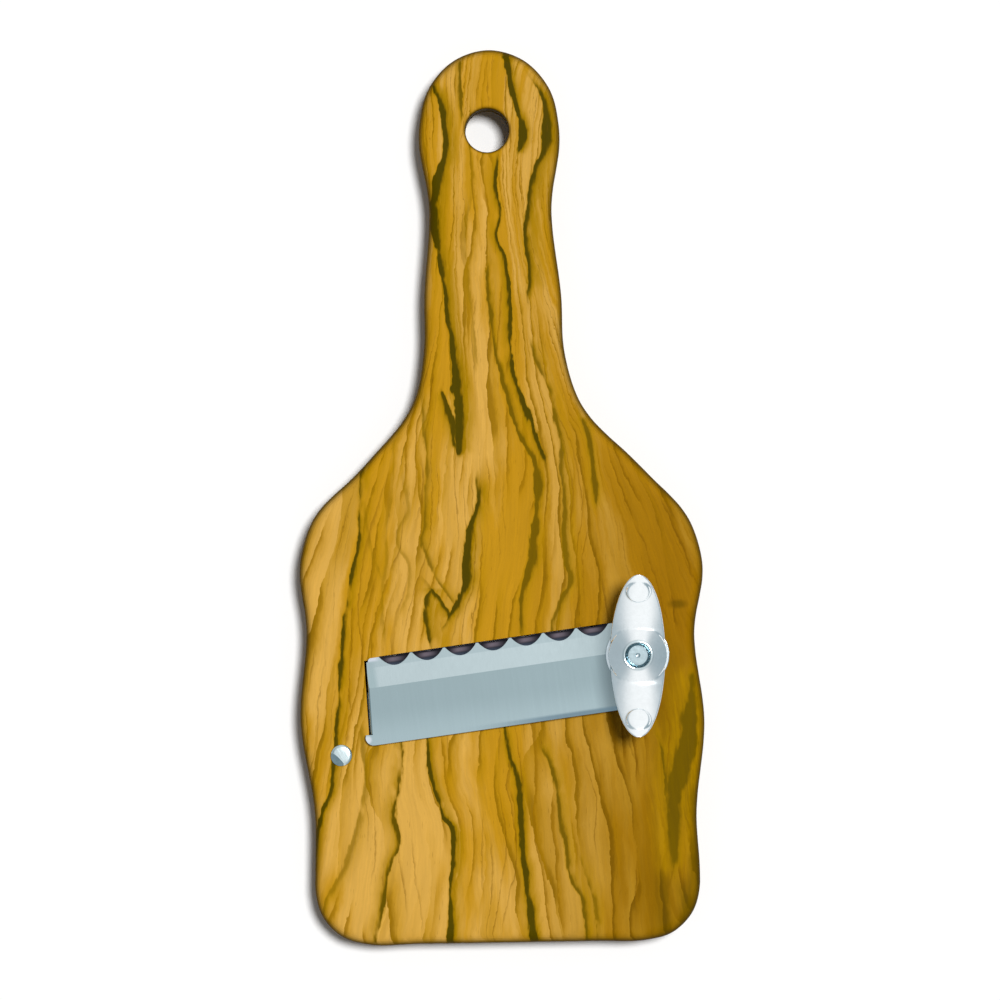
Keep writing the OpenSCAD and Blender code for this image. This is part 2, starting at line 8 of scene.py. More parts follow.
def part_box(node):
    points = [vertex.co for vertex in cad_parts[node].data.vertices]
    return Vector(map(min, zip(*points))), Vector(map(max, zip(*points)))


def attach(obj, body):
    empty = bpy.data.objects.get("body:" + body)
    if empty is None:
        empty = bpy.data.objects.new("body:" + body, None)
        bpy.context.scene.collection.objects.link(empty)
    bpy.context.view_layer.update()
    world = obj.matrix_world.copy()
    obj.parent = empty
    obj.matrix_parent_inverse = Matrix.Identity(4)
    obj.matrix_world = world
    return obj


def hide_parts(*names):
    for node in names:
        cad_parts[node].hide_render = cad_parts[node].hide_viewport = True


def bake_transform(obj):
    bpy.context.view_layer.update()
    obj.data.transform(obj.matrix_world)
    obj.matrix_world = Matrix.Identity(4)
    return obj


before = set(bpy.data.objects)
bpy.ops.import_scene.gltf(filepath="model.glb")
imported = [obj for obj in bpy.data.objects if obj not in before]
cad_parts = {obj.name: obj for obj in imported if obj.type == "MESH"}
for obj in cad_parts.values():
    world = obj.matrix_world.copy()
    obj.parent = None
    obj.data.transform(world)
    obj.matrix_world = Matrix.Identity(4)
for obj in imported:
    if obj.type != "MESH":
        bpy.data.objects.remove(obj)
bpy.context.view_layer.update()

MM = 0.001

# The photograph's frame: 1000 pixels square, seen from straight above, with 4 pixels to a millimetre at the
# board's outline
IMAGE_PX = 1000
PX_PER_MM = 4
VIEW_CENTRE_MM = (-0.51, -0.53)
CAMERA_HEIGHT = 1.4

# Board, as in the CAD model
BOARD_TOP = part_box("board")[1][2]
EDGE_R = 3 * MM
HOLE_MM = (-3.761, 91.493)
HOLE_R = 5.4
LIP_R = 1.2
PIN_HOLE_R = 1.8
HEAD_RECESS_R, HEAD_RECESS_DEPTH = 7.55, 3.0
NECK_HOLE = 6.1
SPRING_WELL_R, SPRING_WELL_FLOOR = 4.5, 7.5

# The blade's own frame: origin at the bolt, X along the blade
BLADE_ANGLE = 8.3
BLADE_EDGE_Y = 8.6
BLADE_W = 21.6
BEVEL_W = 7.4
FOLD_SKEW = -4.4
FOLD_CORNER = (-68.5, BLADE_EDGE_Y - BLADE_W)
LEG_LOW, LEG_HIGH = 2.9, 20.76
PIN_IN_FOLD = (-7.8, -1.9)
THROAT_GAP = 0.1
SCALLOP_DEPTH = 2.5
SCALLOP_PITCH = 8.3
FIRST_SCALLOP = -59.75
EAR_MM = (-69.3, -11.4)


def centre(node):
    low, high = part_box(node)
    return (Vector(low) + Vector(high)) / 2


BOLT = centre("adjusting_bolt")
PIN = centre("fixing_pin")
NUT_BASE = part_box("wing_nut")[0][2]


def srgb(r, g, b):
    """A colour as a picture shows it, from 0 to 255, as the linear values that a shader takes"""
    def linear(c):
        c = c / 255
        return c / 12.92 if c <= 0.04045 else ((c + 0.055) / 1.055) ** 2.4
    return (linear(r), linear(g), linear(b), 1)


class Tree:
    """Adds nodes to a material's tree and links what it is given to their inputs"""

    def __init__(self, nodes, links):
        self.nodes = nodes
        self.links = links

    def add(self, kind, inputs=(), out=0, **settings):
        node = self.nodes.new(kind)
        for name, value in settings.items():
            setattr(node, name, value)
        for key, value in dict(inputs).items():
            self.feed(node.inputs[key], value)
        return node.outputs[out]

    def feed(self, socket, value):
        if isinstance(value, bpy.types.NodeSocket):
            self.links.new(value, socket)
        else:
            socket.default_value = value

    def math(self, operation, a, b=0.0, c=0.0, clamp=False):
        return self.add("ShaderNodeMath", {0: a, 1: b, 2: c}, operation=operation, use_clamp=clamp)

    def mix(self, factor, a, b, blend="MIX"):
        node = self.nodes.new("ShaderNodeMix")
        node.data_type = "RGBA"
        node.blend_type = blend
        self.feed(node.inputs[0], factor)
        self.feed(node.inputs[6], a)
        self.feed(node.inputs[7], b)
        return node.outputs[2]

    def remap(self, value, low, high, to_low=0.0, to_high=1.0, smooth=True):
        kind = "SMOOTHSTEP" if smooth else "LINEAR"
        return self.add(
            "ShaderNodeMapRange",
            {0: value, 1: low, 2: high, 3: to_low, 4: to_high},
            interpolation_type=kind,
        )

    def noise(self, vector, detail=2.0, rough=0.5):
        inputs = {"Vector": vector, "Scale": 1.0, "Detail": detail, "Roughness": rough}
        return self.add("ShaderNodeTexNoise", inputs)

    def scaled(self, vector, scale, shift=(0, 0, 0)):
        return self.add("ShaderNodeMapping", {"Vector": vector, "Location": shift, "Scale": scale})

    def curve(self, value, points):
        """A smooth curve through the points, whose values run from 0 to 1 both ways"""
        node = self.nodes.new("ShaderNodeFloatCurve")
        self.feed(node.inputs["Value"], value)
        node.mapping.extend = "HORIZONTAL"
        line = node.mapping.curves[0]
        while len(line.points) < len(points):
            line.points.new(0.5, 0.5)
        for point, place in zip(line.points, points):
            point.location = place
            point.handle_type = "AUTO"
        node.mapping.update()
        return node.outputs[0]


def new_material(name):
    material = bpy.data.materials.new(name)
    material.use_nodes = True
    tree = Tree(material.node_tree.nodes, material.node_tree.links)
    shader = material.node_tree.nodes["Principled BSDF"]
    return material, tree, shader


def coordinates_mm(tree):
    place = tree.add("ShaderNodeTexCoord", out=3)
    return tree.add("ShaderNodeVectorMath", {0: place, "Scale": 1 / MM}, operation="SCALE")


def from_bolt(tree):
    """Where a point is from the bolt's middle, in millimetres"""
    shift = tuple(-c / MM for c in BOLT)
    return tree.add("ShaderNodeVectorMath", {0: coordinates_mm(tree), 1: shift}, operation="ADD")


def length_of(tree, vector, shares=(1, 1, 0)):
    """How long a vector is, with each of its parts counted by its share"""
    vector = tree.add("ShaderNodeVectorMath", {0: vector, 1: shares}, operation="MULTIPLY")
    return tree.add("ShaderNodeVectorMath", {0: vector}, out=1, operation="LENGTH")


# Wood

# The wood's field: the curves below run over this box, in millimetres
WOOD_HALF_W = 56
WOOD_HALF_L = 114

# Guide lines that the fine figure follows, from left to right, as (height on the board, place across it)
GUIDES = [
    [(112, -19), (80, -17), (50, -19), (25, -24.5), (10, -28.5), (-10, -32.5), (-34, -37), (-60, -39.5),
     (-85, -44), (-112, -50)],
    [(112, -8), (92, -10), (59, -10.5), (32, -9.5), (10, -10.5), (-20, -11), (-29, -13), (-45, -15),
     (-58, -17), (-70, -17), (-82, -13), (-94, -12.3), (-112, -13.4)],
    [(112, 1), (80, -1), (50, 2), (30, 4), (10, 7), (-15, 5), (-40, 2), (-70, 4), (-112, 8)],
    [(112, 11), (80, 6), (40, 14), (20, 20), (0, 25), (-30, 30), (-70, 34), (-112, 38)],
]
# How wide the figure is drawn between one guide line and the next
GUIDE_GAPS = (19, 14, 21)

# The main dark veins. Each row: softness to its left, softness to its right, strength, and then
# (height on the board, place across it, half width), all in millimetres
VEINS = [
    # down the handle's left side
    (1.0, 2.2, 1.0, [(104, -18.5, 0.2), (98, -16, 0.7), (92.5, -14.6, 0.7), (86, -14.2, 0.8),
        (81, -16, 1.2), (76, -17, 1.8), (70, -17.4, 1.7), (66, -16.7, 1.2), (59, -15, 0.8),
        (52, -14.2, 0.7), (46, -13.8, 0.7), (39, -12.8, 0.9), (32, -11.7, 1.3), (26, -11.4, 1.6),
        (20, -11.2, 1.4), (12, -11.4, 0.8), (9, -11.5, 0.1)]),
    (1.6, 1.0, 0.8, [(28, -15.4, 0.1), (25, -14.3, 0.9), (20, -12.9, 1.2), (14, -12.2, 0.9),
        (10, -12, 0.1)]),
    # from the knob's top past the hanging hole
    (1.0, 1.6, 1.0, [(113, 0.6, 1.2), (104, 2.3, 0.9), (97.5, 3.4, 1.1), (91.5, 4.4, 1.7), (87, 3.8, 1.0),
        (84, 2.6, 0.1)]),
    (1.4, 1.0, 0.6, [(109, -10.8, 0.5), (102, -10.4, 0.5), (95, -10, 0.4), (91, -10, 0.05)]),
    # the knob's right side and the handle's right side
    (1.0, 2.4, 0.85, [(106, 6.5, 0.2), (100, 10, 0.5), (94, 10.9, 1.2), (88, 10.5, 1.4), (82, 8.1, 0.8),
        (76, 6.6, 0.8), (70, 6.2, 0.7), (64, 5.9, 0.7), (59, 6.2, 0.6), (53, 6.2, 0.5), (48, 6, 0.1)]),
    (1.5, 1.0, 0.35, [(84, -7.5, 0.4), (78, -7.1, 0.5), (70, -8.9, 0.5), (64, -9.3, 0.5), (56, -8.2, 0.5),
        (49, -7.5, 0.5), (42, -6.4, 0.5), (33, -6.1, 0.4), (30, -6.1, 0.05)]),
    (1.6, 1.0, 0.9, [(83, -1.2, 0.4), (78, -1.5, 0.6), (71, -0.9, 0.5), (65, -1.6, 0.5), (59, 0.5, 0.6),
        (53, 1.3, 0.8), (46.5, 1.9, 0.8), (39.5, 2.3, 0.7), (34, 3, 0.9), (30, 3.7, 0.9), (24, 5.8, 1.0),
        (18, 7.9, 1.0), (11, 10, 0.7), (6, 11.5, 0.1)]),
    (1.0, 1.8, 0.6, [(62, -3.6, 0.1), (55, -4, 0.5), (46.5, -3, 0.6), (38, -1.5, 0.5), (31, 0.5, 0.7),
        (23, 2.3, 0.9), (15, 5.1, 0.8), (9, 7.9, 1.0), (4, 8.6, 1.2), (-4, 8.4, 1.3), (-10, 7.8, 1.7),
        (-16, 7.2, 1.6), (-22, 5.6, 1.1), (-28, 4.9, 0.8), (-36, 4.7, 0.3)]),
    (1.0, 2.0, 0.55, [(41, 6.5, 0.1), (33, 9.3, 0.5), (27, 12.1, 0.5), (18, 13.5, 0.8), (11, 14.2, 0.7),
        (4, 14.6, 0.6), (-4, 15.4, 0.9), (-10, 15.6, 1.0), (-17, 16.3, 0.9), (-20, 17.3, 1.0),
        (-25, 15.2, 1.2), (-29, 13.4, 1.0), (-33, 12.4, 0.6)]),
    (1.6, 1.6, 0.6, [(21, 19, 0.2), (16, 20.9, 1.0), (11, 22, 1.1), (4, 23.3, 0.9), (-3, 24, 0.3)]),
    # the left shoulder
    (1.0, 1.8, 0.5, [(26, -20.5, 0.3), (18, -19.4, 0.5), (11, -19, 0.5), (4, -19.2, 0.4), (-2, -19.4, 0.4),
        (-7, -19, 0.5), (-10, -20, 0.5), (-15, -18.6, 0.5), (-19, -16.8, 0.5), (-23.5, -13.6, 0.4)]),
    (1.5, 1.0, 0.3, [(16, -26.4, 0.4), (9, -27.2, 0.4), (2, -27.2, 0.4), (-6, -28.5, 0.4),
        (-14, -28.6, 0.5), (-20, -29.5, 0.5), (-28, -29.9, 0.5), (-34, -29.2, 0.3)]),
    # the long vein down the left side
    (1.0, 1.7, 0.85, [(9, -34.6, 0.2), (2, -34.9, 0.5), (-5, -35.1, 0.5), (-13, -36.1, 0.5),
        (-21, -38, 0.5), (-28, -39.4, 0.5), (-34, -40.2, 0.7), (-42, -40.9, 0.7), (-51, -40.9, 0.6),
        (-58, -41.7, 0.6), (-66, -42, 0.8), (-73, -42.8, 0.7), (-79, -44.9, 0.9), (-85, -46.5, 1.0),
        (-92, -48, 0.3)]),
    # the peak above the blade and the vein that runs into it
    (1.0, 2.0, 0.9, [(6, -6.6, 0.2), (0, -5.8, 0.5), (-4.5, -7.2, 0.8), (-8, -8.6, 1.0), (-14.5, -9, 1.2),
        (-20.5, -9, 1.2), (-25, -10.4, 0.7), (-29, -12.6, 0.5)]),
    (1.0, 2.4, 0.8, [(-22.5, -17.2, 0.2), (-25, -18.7, 0.7), (-28.5, -18.9, 0.7), (-33.5, -18.2, 0.6),
        (-37, -17, 0.3)]),
    (2.0, 1.0, 0.8, [(-22.5, -17.4, 0.3), (-24, -16.2, 0.7), (-26, -14.7, 0.6), (-28.8, -12.8, 0.6),
        (-30, -12.4, 0.1)]),
    # brown lines between them
    (1.5, 1.0, 0.3, [(-2, -33.6, 0.2), (-7, -33.2, 0.5), (-15, -31.8, 0.5), (-20, -30, 0.4),
        (-23, -29.4, 0.2)]),
    (1.0, 1.8, 0.3, [(4, -24.8, 0.3), (-3, -23.7, 0.5), (-10, -26.3, 0.5), (-17.5, -23.1, 0.5),
        (-23, -23.3, 0.5), (-30, -25.9, 0.3)]),
    # below the blade
    (1.0, 1.8, 1.0, [(-58, -18.9, 0.4), (-66, -18.9, 0.6), (-70, -17.8, 0.8), (-75, -16.4, 0.8),
        (-80, -14.9, 0.9), (-82, -12.9, 1.0), (-87, -12, 0.9), (-94.5, -12.3, 0.8), (-102, -13, 0.9),
        (-111, -13.4, 1.2)]),
    (1.8, 1.0, 0.7, [(-58, -25.5, 0.5), (-67, -25.2, 0.5), (-73, -25.9, 0.5), (-80, -26.6, 0.9),
        (-85, -25.5, 0.8), (-91, -27.3, 0.6), (-98, -28.8, 0.6), (-105.5, -30.3, 0.5),
        (-111, -31.4, 0.4)]),
    (1.0, 2.0, 0.4, [(-61, -34.8, 0.5), (-69, -33.6, 0.6), (-76, -34.8, 0.6), (-83.5, -36.5, 0.7),
        (-91, -39, 0.7), (-98, -42.7, 0.6), (-104, -45, 0.4)]),
    (1.3, 1.6, 0.95, [(-56, 0.5, 0.4), (-63.5, 2, 0.6), (-69.5, 4.2, 0.8), (-76, 4.9, 1.0),
        (-83.5, 5.2, 1.0), (-91, 5.6, 1.0), (-98, 6.4, 1.1), (-105.5, 7.5, 1.3), (-111, 7.8, 1.6)]),
    (1.0, 2.2, 0.6, [(-60, 9.5, 0.2), (-66, 12.2, 0.5), (-72.5, 13.7, 0.6), (-80, 14.7, 0.7),
        (-87, 15.9, 0.7), (-94.5, 17, 0.8), (-100, 19.5, 0.8), (-104, 20.2, 0.8), (-110, 21, 0.6)]),
    (1.0, 1.8, 0.5, [(-86, 18.2, 0.1), (-94.5, 21, 0.6), (-102, 23.2, 0.7), (-109, 24, 0.6)]),
    # the broad dark band down the right side, and a thin line that runs into it
    (2.6, 2.6, 0.62, [(-45, 47.0, 0.6), (-51, 46.8, 2.4), (-57, 46.2, 3.6), (-64, 45.2, 3.8),
        (-72, 43.6, 3.2), (-80, 42.4, 2.6), (-86, 42.2, 1.6), (-92, 42.6, 0.4)]),
    (1.0, 2.0, 0.6, [(-58, 38, 0.2), (-64, 40, 0.5), (-70, 41, 0.6), (-76, 41.2, 0.5)]),
]
# How far a vein's dark line and the golden shade beside it fade, in millimetres: on its crisp side, and the
# more for each unit of softness
LINE_FADE = (0.2, 0.9)
SHADE_FADE = (0.7, 3.8)
# The share of its half width that a vein's dark line takes, and how far its ends run out, in millimetres
VEIN_THINNER = 0.52
VEIN_TAPER = 5
# How the veins wander. Each row: the noise's scale each way, its detail, and the sway in millimetres
WANDER = (
    ((0.07, 0.045, 0.06), 1.0, 2.6),
    ((0.5, 0.16, 0.4), 2.0, 1.4),
    ((1.9, 0.5, 1.5), 2.0, 0.7),
)
# How far the veins lean to one side for each millimetre down through the board
VEIN_LEAN = 0.22

# The small knot: its middle, and what a millimetre across and up the board counts for in its soft outline
KNOT_MM = (43.7, -26.4)
KNOT_SHAPE = (0.4, 0.85, 0)


def wood_place(y, x):
    return ((y + WOOD_HALF_L) / (2 * WOOD_HALF_L), (x + WOOD_HALF_W) / (2 * WOOD_HALF_W))


def vein_mask(tree, across, along, ragged, row):
    """How dark one vein is here, and how strong the golden shade beside it"""
    soft_left, soft_right, strength, stations = row
    stations = sorted(stations)
    widest = max(w for _, _, w in stations)

    def onward(end, before):
        run = VEIN_TAPER / (end[0] - before[0])
        return (end[0] + abs(run) * (end[0] - before[0]), end[1] + abs(run) * (end[1] - before[1]))

    first, last = onward(stations[0], stations[1]), onward(stations[-1], stations[-2])
    middle = [(y, x) for y, x, _ in stations]
    place = tree.curve(along, [wood_place(y, x) for y, x in [first] + middle + [last]])
    ends = [(first[0], 0)] + [(y, w / widest) for y, _, w in stations] + [(last[0], 0)]
    ends = [(min(max(wood_place(y, 0)[0], 0), 1), w) for y, w in ends]
    width = tree.math("MULTIPLY", tree.curve(along, ends), widest * VEIN_THINNER)
    width = tree.math("MULTIPLY", width, ragged)
    aside = tree.math("MULTIPLY", tree.math("SUBTRACT", across, place), 2 * WOOD_HALF_W)
    past_right = tree.math("SUBTRACT", aside, width)
    past_left = tree.math("SUBTRACT", tree.math("MULTIPLY", aside, -1.0), width)
    there = tree.math("MULTIPLY", tree.remap(width, 0.0, 0.3), strength)
    masks = []
    for crisp, soft in (LINE_FADE, SHADE_FADE):
        left = tree.remap(past_left, crisp + soft * (soft_left - 1), -crisp)
        right = tree.remap(past_right, crisp + soft * (soft_right - 1), -crisp)
        masks.append(tree.math("MULTIPLY", tree.math("MULTIPLY", left, right), there))
    return masks


def guide_flow(tree, across, along):
    """A coordinate across the board that follows the guide lines, in millimetres"""
    lines = [tree.curve(along, sorted(wood_place(y, x) for y, x in guide)) for guide in GUIDES]
    flow = 0.0
    for k, gap in enumerate(GUIDE_GAPS):
        left, right = lines[k], lines[k + 1]
        share = tree.math("DIVIDE", tree.math("SUBTRACT", across, left), tree.math("SUBTRACT", right, left))
        if k > 0:
            share = tree.math("MAXIMUM", share, 0.0)
        if k < len(GUIDE_GAPS) - 1:
            share = tree.math("MINIMUM", share, 1.0)
        flow = tree.math("MULTIPLY_ADD", share, gap, flow)
    return flow


def stripes(tree, flow, flowing, period, sway, fade, patch, shift, rare):
    """Growth stripes along the guides: each is dark at a sharp edge, fades to one side, and comes and goes

    A period, the sway and the fade's share of a period are given, then the scale and the place of the patches
    where the stripes show, and how much of that noise leaves them out.
    """
    drift = tree.noise(tree.scaled(flowing, (0.06, 0.016, 0.03), shift), detail=2.0)
    place = tree.math("MULTIPLY_ADD", tree.math("SUBTRACT", drift, 0.5), sway, flow)
    phase = tree.math("FRACT", tree.math("DIVIDE", place, period))
    there = tree.noise(tree.scaled(flowing, patch, shift[::-1]), detail=1.5)
    return tree.math("MULTIPLY", tree.remap(phase, fade, 0.0), tree.remap(there, rare - 0.08, rare + 0.08))


def veins_here(tree, place, across, along):
    """The darkest line and the strongest golden shade of all the veins"""
    ragged = tree.noise(tree.scaled(place, (0.45, 0.16, 0.3), (4.0, 2.0, 0.0)), detail=2.0)
    ragged = tree.remap(ragged, 0.3, 0.7, 0.45, 1.5, smooth=False)
    line, shade = 0.0, 0.0
    for row in VEINS:
        one_line, one_shade = vein_mask(tree, across, along, ragged, row)
        line = tree.math("MAXIMUM", one_line, line)
        shade = tree.math("MAXIMUM", one_shade, shade)
    return line, shade


def olive_wood():
    """Golden wood with strong dark veins, and a finer figure between them that follows the guide lines"""
    material, tree, shader = new_material("olive_wood")
    place = coordinates_mm(tree)
    split = tree.nodes.new("ShaderNodeSeparateXYZ")
    tree.feed(split.inputs[0], place)
    x, y, z = split.outputs

    # The veins wander a little, have ragged edges, and lean as they go down through the board
    moved = tree.math("MULTIPLY_ADD", tree.math("SUBTRACT", z, BOARD_TOP / MM), VEIN_LEAN, x)
    for scale, detail, sway in WANDER:
        drift = tree.noise(tree.scaled(place, scale), detail=detail)
        moved = tree.math("MULTIPLY_ADD", tree.math("SUBTRACT", drift, 0.5), sway, moved)
    across = tree.math("DIVIDE", tree.math("ADD", moved, WOOD_HALF_W), 2 * WOOD_HALF_W)
    along = tree.math("DIVIDE", tree.math("ADD", y, WOOD_HALF_L), 2 * WOOD_HALF_L)
    line, shade = veins_here(tree, place, across, along)

    # Between the veins: wide and narrow stripes, long patches, and the fine fibre
    flow = guide_flow(tree, across, along)
    flowing = tree.add("ShaderNodeCombineXYZ", {0: flow, 1: y, 2: z})
    wide = stripes(
        tree, flow, flowing, period=5.1, sway=19.0, fade=0.6,
        patch=(0.07, 0.016, 0.04), shift=(3.1, 1.7, 0.4), rare=0.49,
    )
    narrow = stripes(
        tree, flow, flowing, period=2.7, sway=13.0, fade=0.7,
        patch=(0.12, 0.03, 0.06), shift=(8.3, 4.1, 2.2), rare=0.53,
    )
    hair = stripes(
        tree, flow, flowing, period=1.9, sway=15.0, fade=0.22,
        patch=(0.22, 0.03, 0.09), shift=(1.2, 6.5, 4.7), rare=0.56,
    )
    cloud = tree.noise(tree.scaled(flowing, (0.10, 0.014, 0.05), (5.0, 7.0, 1.0)), detail=4.0, rough=0.55)
    streak = tree.noise(tree.scaled(flowing, (2.4, 0.06, 1.4)), detail=3.0, rough=0.6)
    pore = tree.noise(tree.scaled(place, (3.5, 0.3, 3.0), (2.0, 0.0, 5.0)), detail=1.0)

    light = srgb(219, 170, 77)
    colour = tree.mix(tree.math("MULTIPLY", tree.remap(cloud, 0.42, 0.57), 0.9), light, srgb(196, 143, 12))
    colour = tree.mix(tree.math("MULTIPLY", wide, 0.9), colour, srgb(182, 134, 4))
    colour = tree.mix(tree.math("MULTIPLY", tree.remap(wide, 0.72, 1.0), 0.6), colour, srgb(130, 92, 0))
    colour = tree.mix(tree.math("MULTIPLY", narrow, 0.75), colour, srgb(182, 132, 4))
    colour = tree.mix(tree.math("MULTIPLY", tree.remap(narrow, 0.7, 1.0), 0.5), colour, srgb(140, 98, 0))

    # The right side is darker and warmer, most of all low down, and dusky along its edge
    side = tree.math("MULTIPLY", tree.remap(x, -8.0, 44.0), tree.remap(y, 50.0, -60.0, 0.6, 1.0))
    colour = tree.mix(side, colour, tree.mix(1.0, colour, srgb(196, 188, 78), "MULTIPLY"))
    dusk = tree.math("MULTIPLY", tree.remap(x, 33.0, 45.0), tree.remap(y, -30.0, -62.0))
    dusk = tree.math("MULTIPLY", dusk, tree.remap(cloud, 0.4, 0.54))
    colour = tree.mix(tree.math("MULTIPLY", dusk, 0.65), colour, srgb(90, 74, 0))

    # A small soft knot near the right edge
    shift = (-KNOT_MM[0], -KNOT_MM[1], 0)
    from_knot = tree.add("ShaderNodeVectorMath", {0: place, 1: shift}, operation="ADD")
    knot = tree.remap(length_of(tree, from_knot, KNOT_SHAPE), 1.4, 0.3)
    colour = tree.mix(tree.math("MULTIPLY", knot, 0.7), colour, srgb(104, 76, 0))

    shade = tree.math("MULTIPLY", shade, tree.remap(streak, 0.35, 0.65, 0.7, 1.0))
    colour = tree.mix(tree.math("MULTIPLY", shade, 1.5, clamp=True), colour, srgb(184, 137, 2))
    colour = tree.mix(tree.math("MULTIPLY", shade, shade), colour, srgb(130, 102, 0))
    colour = tree.mix(tree.math("MULTIPLY", hair, 0.55), colour, srgb(124, 84, 0))
    colour = tree.mix(tree.math("MULTIPLY", line, 1.4, clamp=True), colour, srgb(138, 104, 0))
    colour = tree.mix(tree.remap(line, 0.3, 0.9), colour, srgb(80, 67, 0))
    fibre = tree.remap(streak, 0.3, 0.7, 0.9, 1.05, smooth=False)
    fibre = tree.add("ShaderNodeCombineXYZ", {0: fibre, 1: fibre, 2: fibre})
    colour = tree.mix(1.0, colour, fibre, "MULTIPLY")
    pores = tree.math("MULTIPLY", tree.remap(pore, 0.30, 0.24), 0.35)
    colour = tree.mix(pores, colour, srgb(112, 76, 4))

    # The rounded rim is darker: painted shade on the faces that turn away from the top
    facing = tree.add("ShaderNodeSeparateXYZ", {0: tree.add("ShaderNodeNewGeometry", out=3)}, out=2)
    rim = tree.remap(tree.math("ABSOLUTE", facing), 0.97, 0.4)
    colour = tree.mix(tree.math("MULTIPLY", rim, 0.9), colour, srgb(76, 58, 0))
    tree.feed(shader.inputs["Base Color"], colour)

    tree.feed(shader.inputs["Roughness"], tree.remap(streak, 0.2, 0.8, 0.42, 0.58, smooth=False))
    shader.inputs["Specular IOR Level"].default_value = 0.012
    relief = tree.math("ADD", tree.math("MULTIPLY", streak, 0.6), tree.math("MULTIPLY", pores, -1.0))
    bump = tree.add("ShaderNodeBump", {"Strength": 0.25, "Distance": 0.00006, "Height": relief})
    tree.feed(shader.inputs["Normal"], bump)
    return material


# Metals

def metal(name, colour, rough, spread=0.06, grain=(1.5, 1.5, 1.5), turn=0.0, relief=0.1):
    """Steel with a fine grain: its colour and roughness drift a little, and the grain can lie one way"""
    material, tree, shader = new_material(name)
    place = coordinates_mm(tree)
    turned = tree.add("ShaderNodeMapping", {"Vector": place, "Rotation": (0, 0, -math.radians(turn))})
    lines = tree.noise(tree.scaled(turned, grain), detail=3.0, rough=0.65)
    drift = tree.noise(tree.scaled(place, (0.08, 0.08, 0.08)), detail=2.0)
    shade = tree.math("ADD", tree.math("MULTIPLY", lines, 0.5), tree.math("MULTIPLY", drift, 0.5))
    dark = tuple(c * (1 - spread) for c in colour[:3]) + (1,)
    pale = tuple(min(c * (1 + spread), 1) for c in colour[:3]) + (1,)
    tree.feed(shader.inputs["Base Color"], tree.mix(tree.remap(shade, 0.35, 0.65), dark, pale))
    grained = tree.remap(lines, 0.25, 0.75, rough * 0.85, rough * 1.15, smooth=False)
    tree.feed(shader.inputs["Roughness"], grained)
    shader.inputs["Metallic"].default_value = 1.0
    bump = tree.add("ShaderNodeBump", {"Strength": relief, "Distance": 0.00002, "Height": lines})
    tree.feed(shader.inputs["Normal"], bump)
    return material, tree, shader


def painted(material, tree, shader, changes):
    """Mixes further colours over a metal's own, each by its mask"""
    colour = shader.inputs["Base Color"].links[0].from_socket
    for mask, other in changes:
        colour = tree.mix(mask, colour, other)
    tree.feed(shader.inputs["Base Color"], colour)
    return material


def blade_axes(tree):
    """Millimetres along the blade and across it, from the bolt"""
    turn = (0, 0, -math.radians(BLADE_ANGLE))
    turned = tree.add("ShaderNodeMapping", {"Vector": from_bolt(tree), "Rotation": turn})
    split = tree.nodes.new("ShaderNodeSeparateXYZ")
    tree.feed(split.inputs[0], turned)
    return split.outputs[0], split.outputs[1]


def painted_nut_shade(tree):
    """Where shade is painted on the blade round the washer and under the wings"""
    half_w, half_l = 7.9, 23.0
    return tree.remap(length_of(tree, from_bolt(tree), (1 / half_w, 1 / half_l, 0)), 1.5, 0.9)


def blade_flat_steel():
    """The blade's flat, with a paler painted sheen towards its back, painted shade along its lower edge and
    round the nut, and a painted highlight at the corner's ear
    """
    material, tree, shader = metal(
        "blade_satin", srgb(152, 172, 177), 0.11,
        spread=0.012, grain=(5.0, 0.05, 5.0), turn=BLADE_ANGLE, relief=0.02,
    )
    x, y = blade_axes(tree)
    corner = tree.add("ShaderNodeCombineXYZ", {0: x, 1: y})
    ear = tree.add("ShaderNodeVectorMath", {0: corner, 1: (*EAR_MM, 0)}, out=1, operation="DISTANCE")
    back = BLADE_EDGE_Y - BLADE_W
    under = tree.math("MULTIPLY", tree.remap(y, back + 1.5, back + 0.7), tree.remap(x, -48.0, -18.0))
    return painted(material, tree, shader, (
        # Painted light: a paler sheen towards the back, a highlight at the ear, shade round the nut and along
        # the lower edge
        (tree.math("MULTIPLY", tree.remap(y, -4.0, -12.5), 0.6), srgb(172, 192, 198)),
        (tree.math("MULTIPLY", tree.remap(ear, 1.3, 0.5), 0.7), srgb(222, 228, 236)),
        (tree.math("MULTIPLY", painted_nut_shade(tree), 0.7), srgb(98, 114, 120)),
        (tree.math("MULTIPLY", under, 0.75), srgb(96, 122, 138)),
    ))


def blade_ground_steel():
    """The long bevel: duller where it runs out at the left, finely honed along the edge, with painted shade
    towards the nut and a painted highlight at its top-left corner
    """
    material, tree, shader = metal(
        "blade_ground", srgb(183, 199, 203), 0.1,
        spread=0.012, grain=(5.0, 0.1, 5.0), turn=BLADE_ANGLE, relief=0.02,
    )
    x, y = blade_axes(tree)
    # Where the top-left corner gets its painted highlight
    corner = tree.remap(y, BLADE_EDGE_Y - 1.2, BLADE_EDGE_Y - 0.5)
    corner = tree.math("MULTIPLY", tree.remap(x, -63.0, -65.0), corner)
    scallop_low = BLADE_EDGE_Y - SCALLOP_DEPTH
    hone = tree.remap(y, scallop_low - 0.1, scallop_low + 0.25)
    return painted(material, tree, shader, (
        (tree.remap(x, -64.2, -65.9), srgb(162, 182, 186)),
        (tree.math("MULTIPLY", hone, 0.6), srgb(162, 180, 185)),
        # Painted light: shade towards the nut end, the corner's highlight, and more shade round the nut
        (tree.remap(x, -22.0, -6.0), srgb(170, 186, 190)),
        (tree.math("MULTIPLY", corner, 0.8), srgb(214, 220, 232)),
        (tree.math("MULTIPLY", painted_nut_shade(tree), 0.45), srgb(110, 126, 132)),
    ))


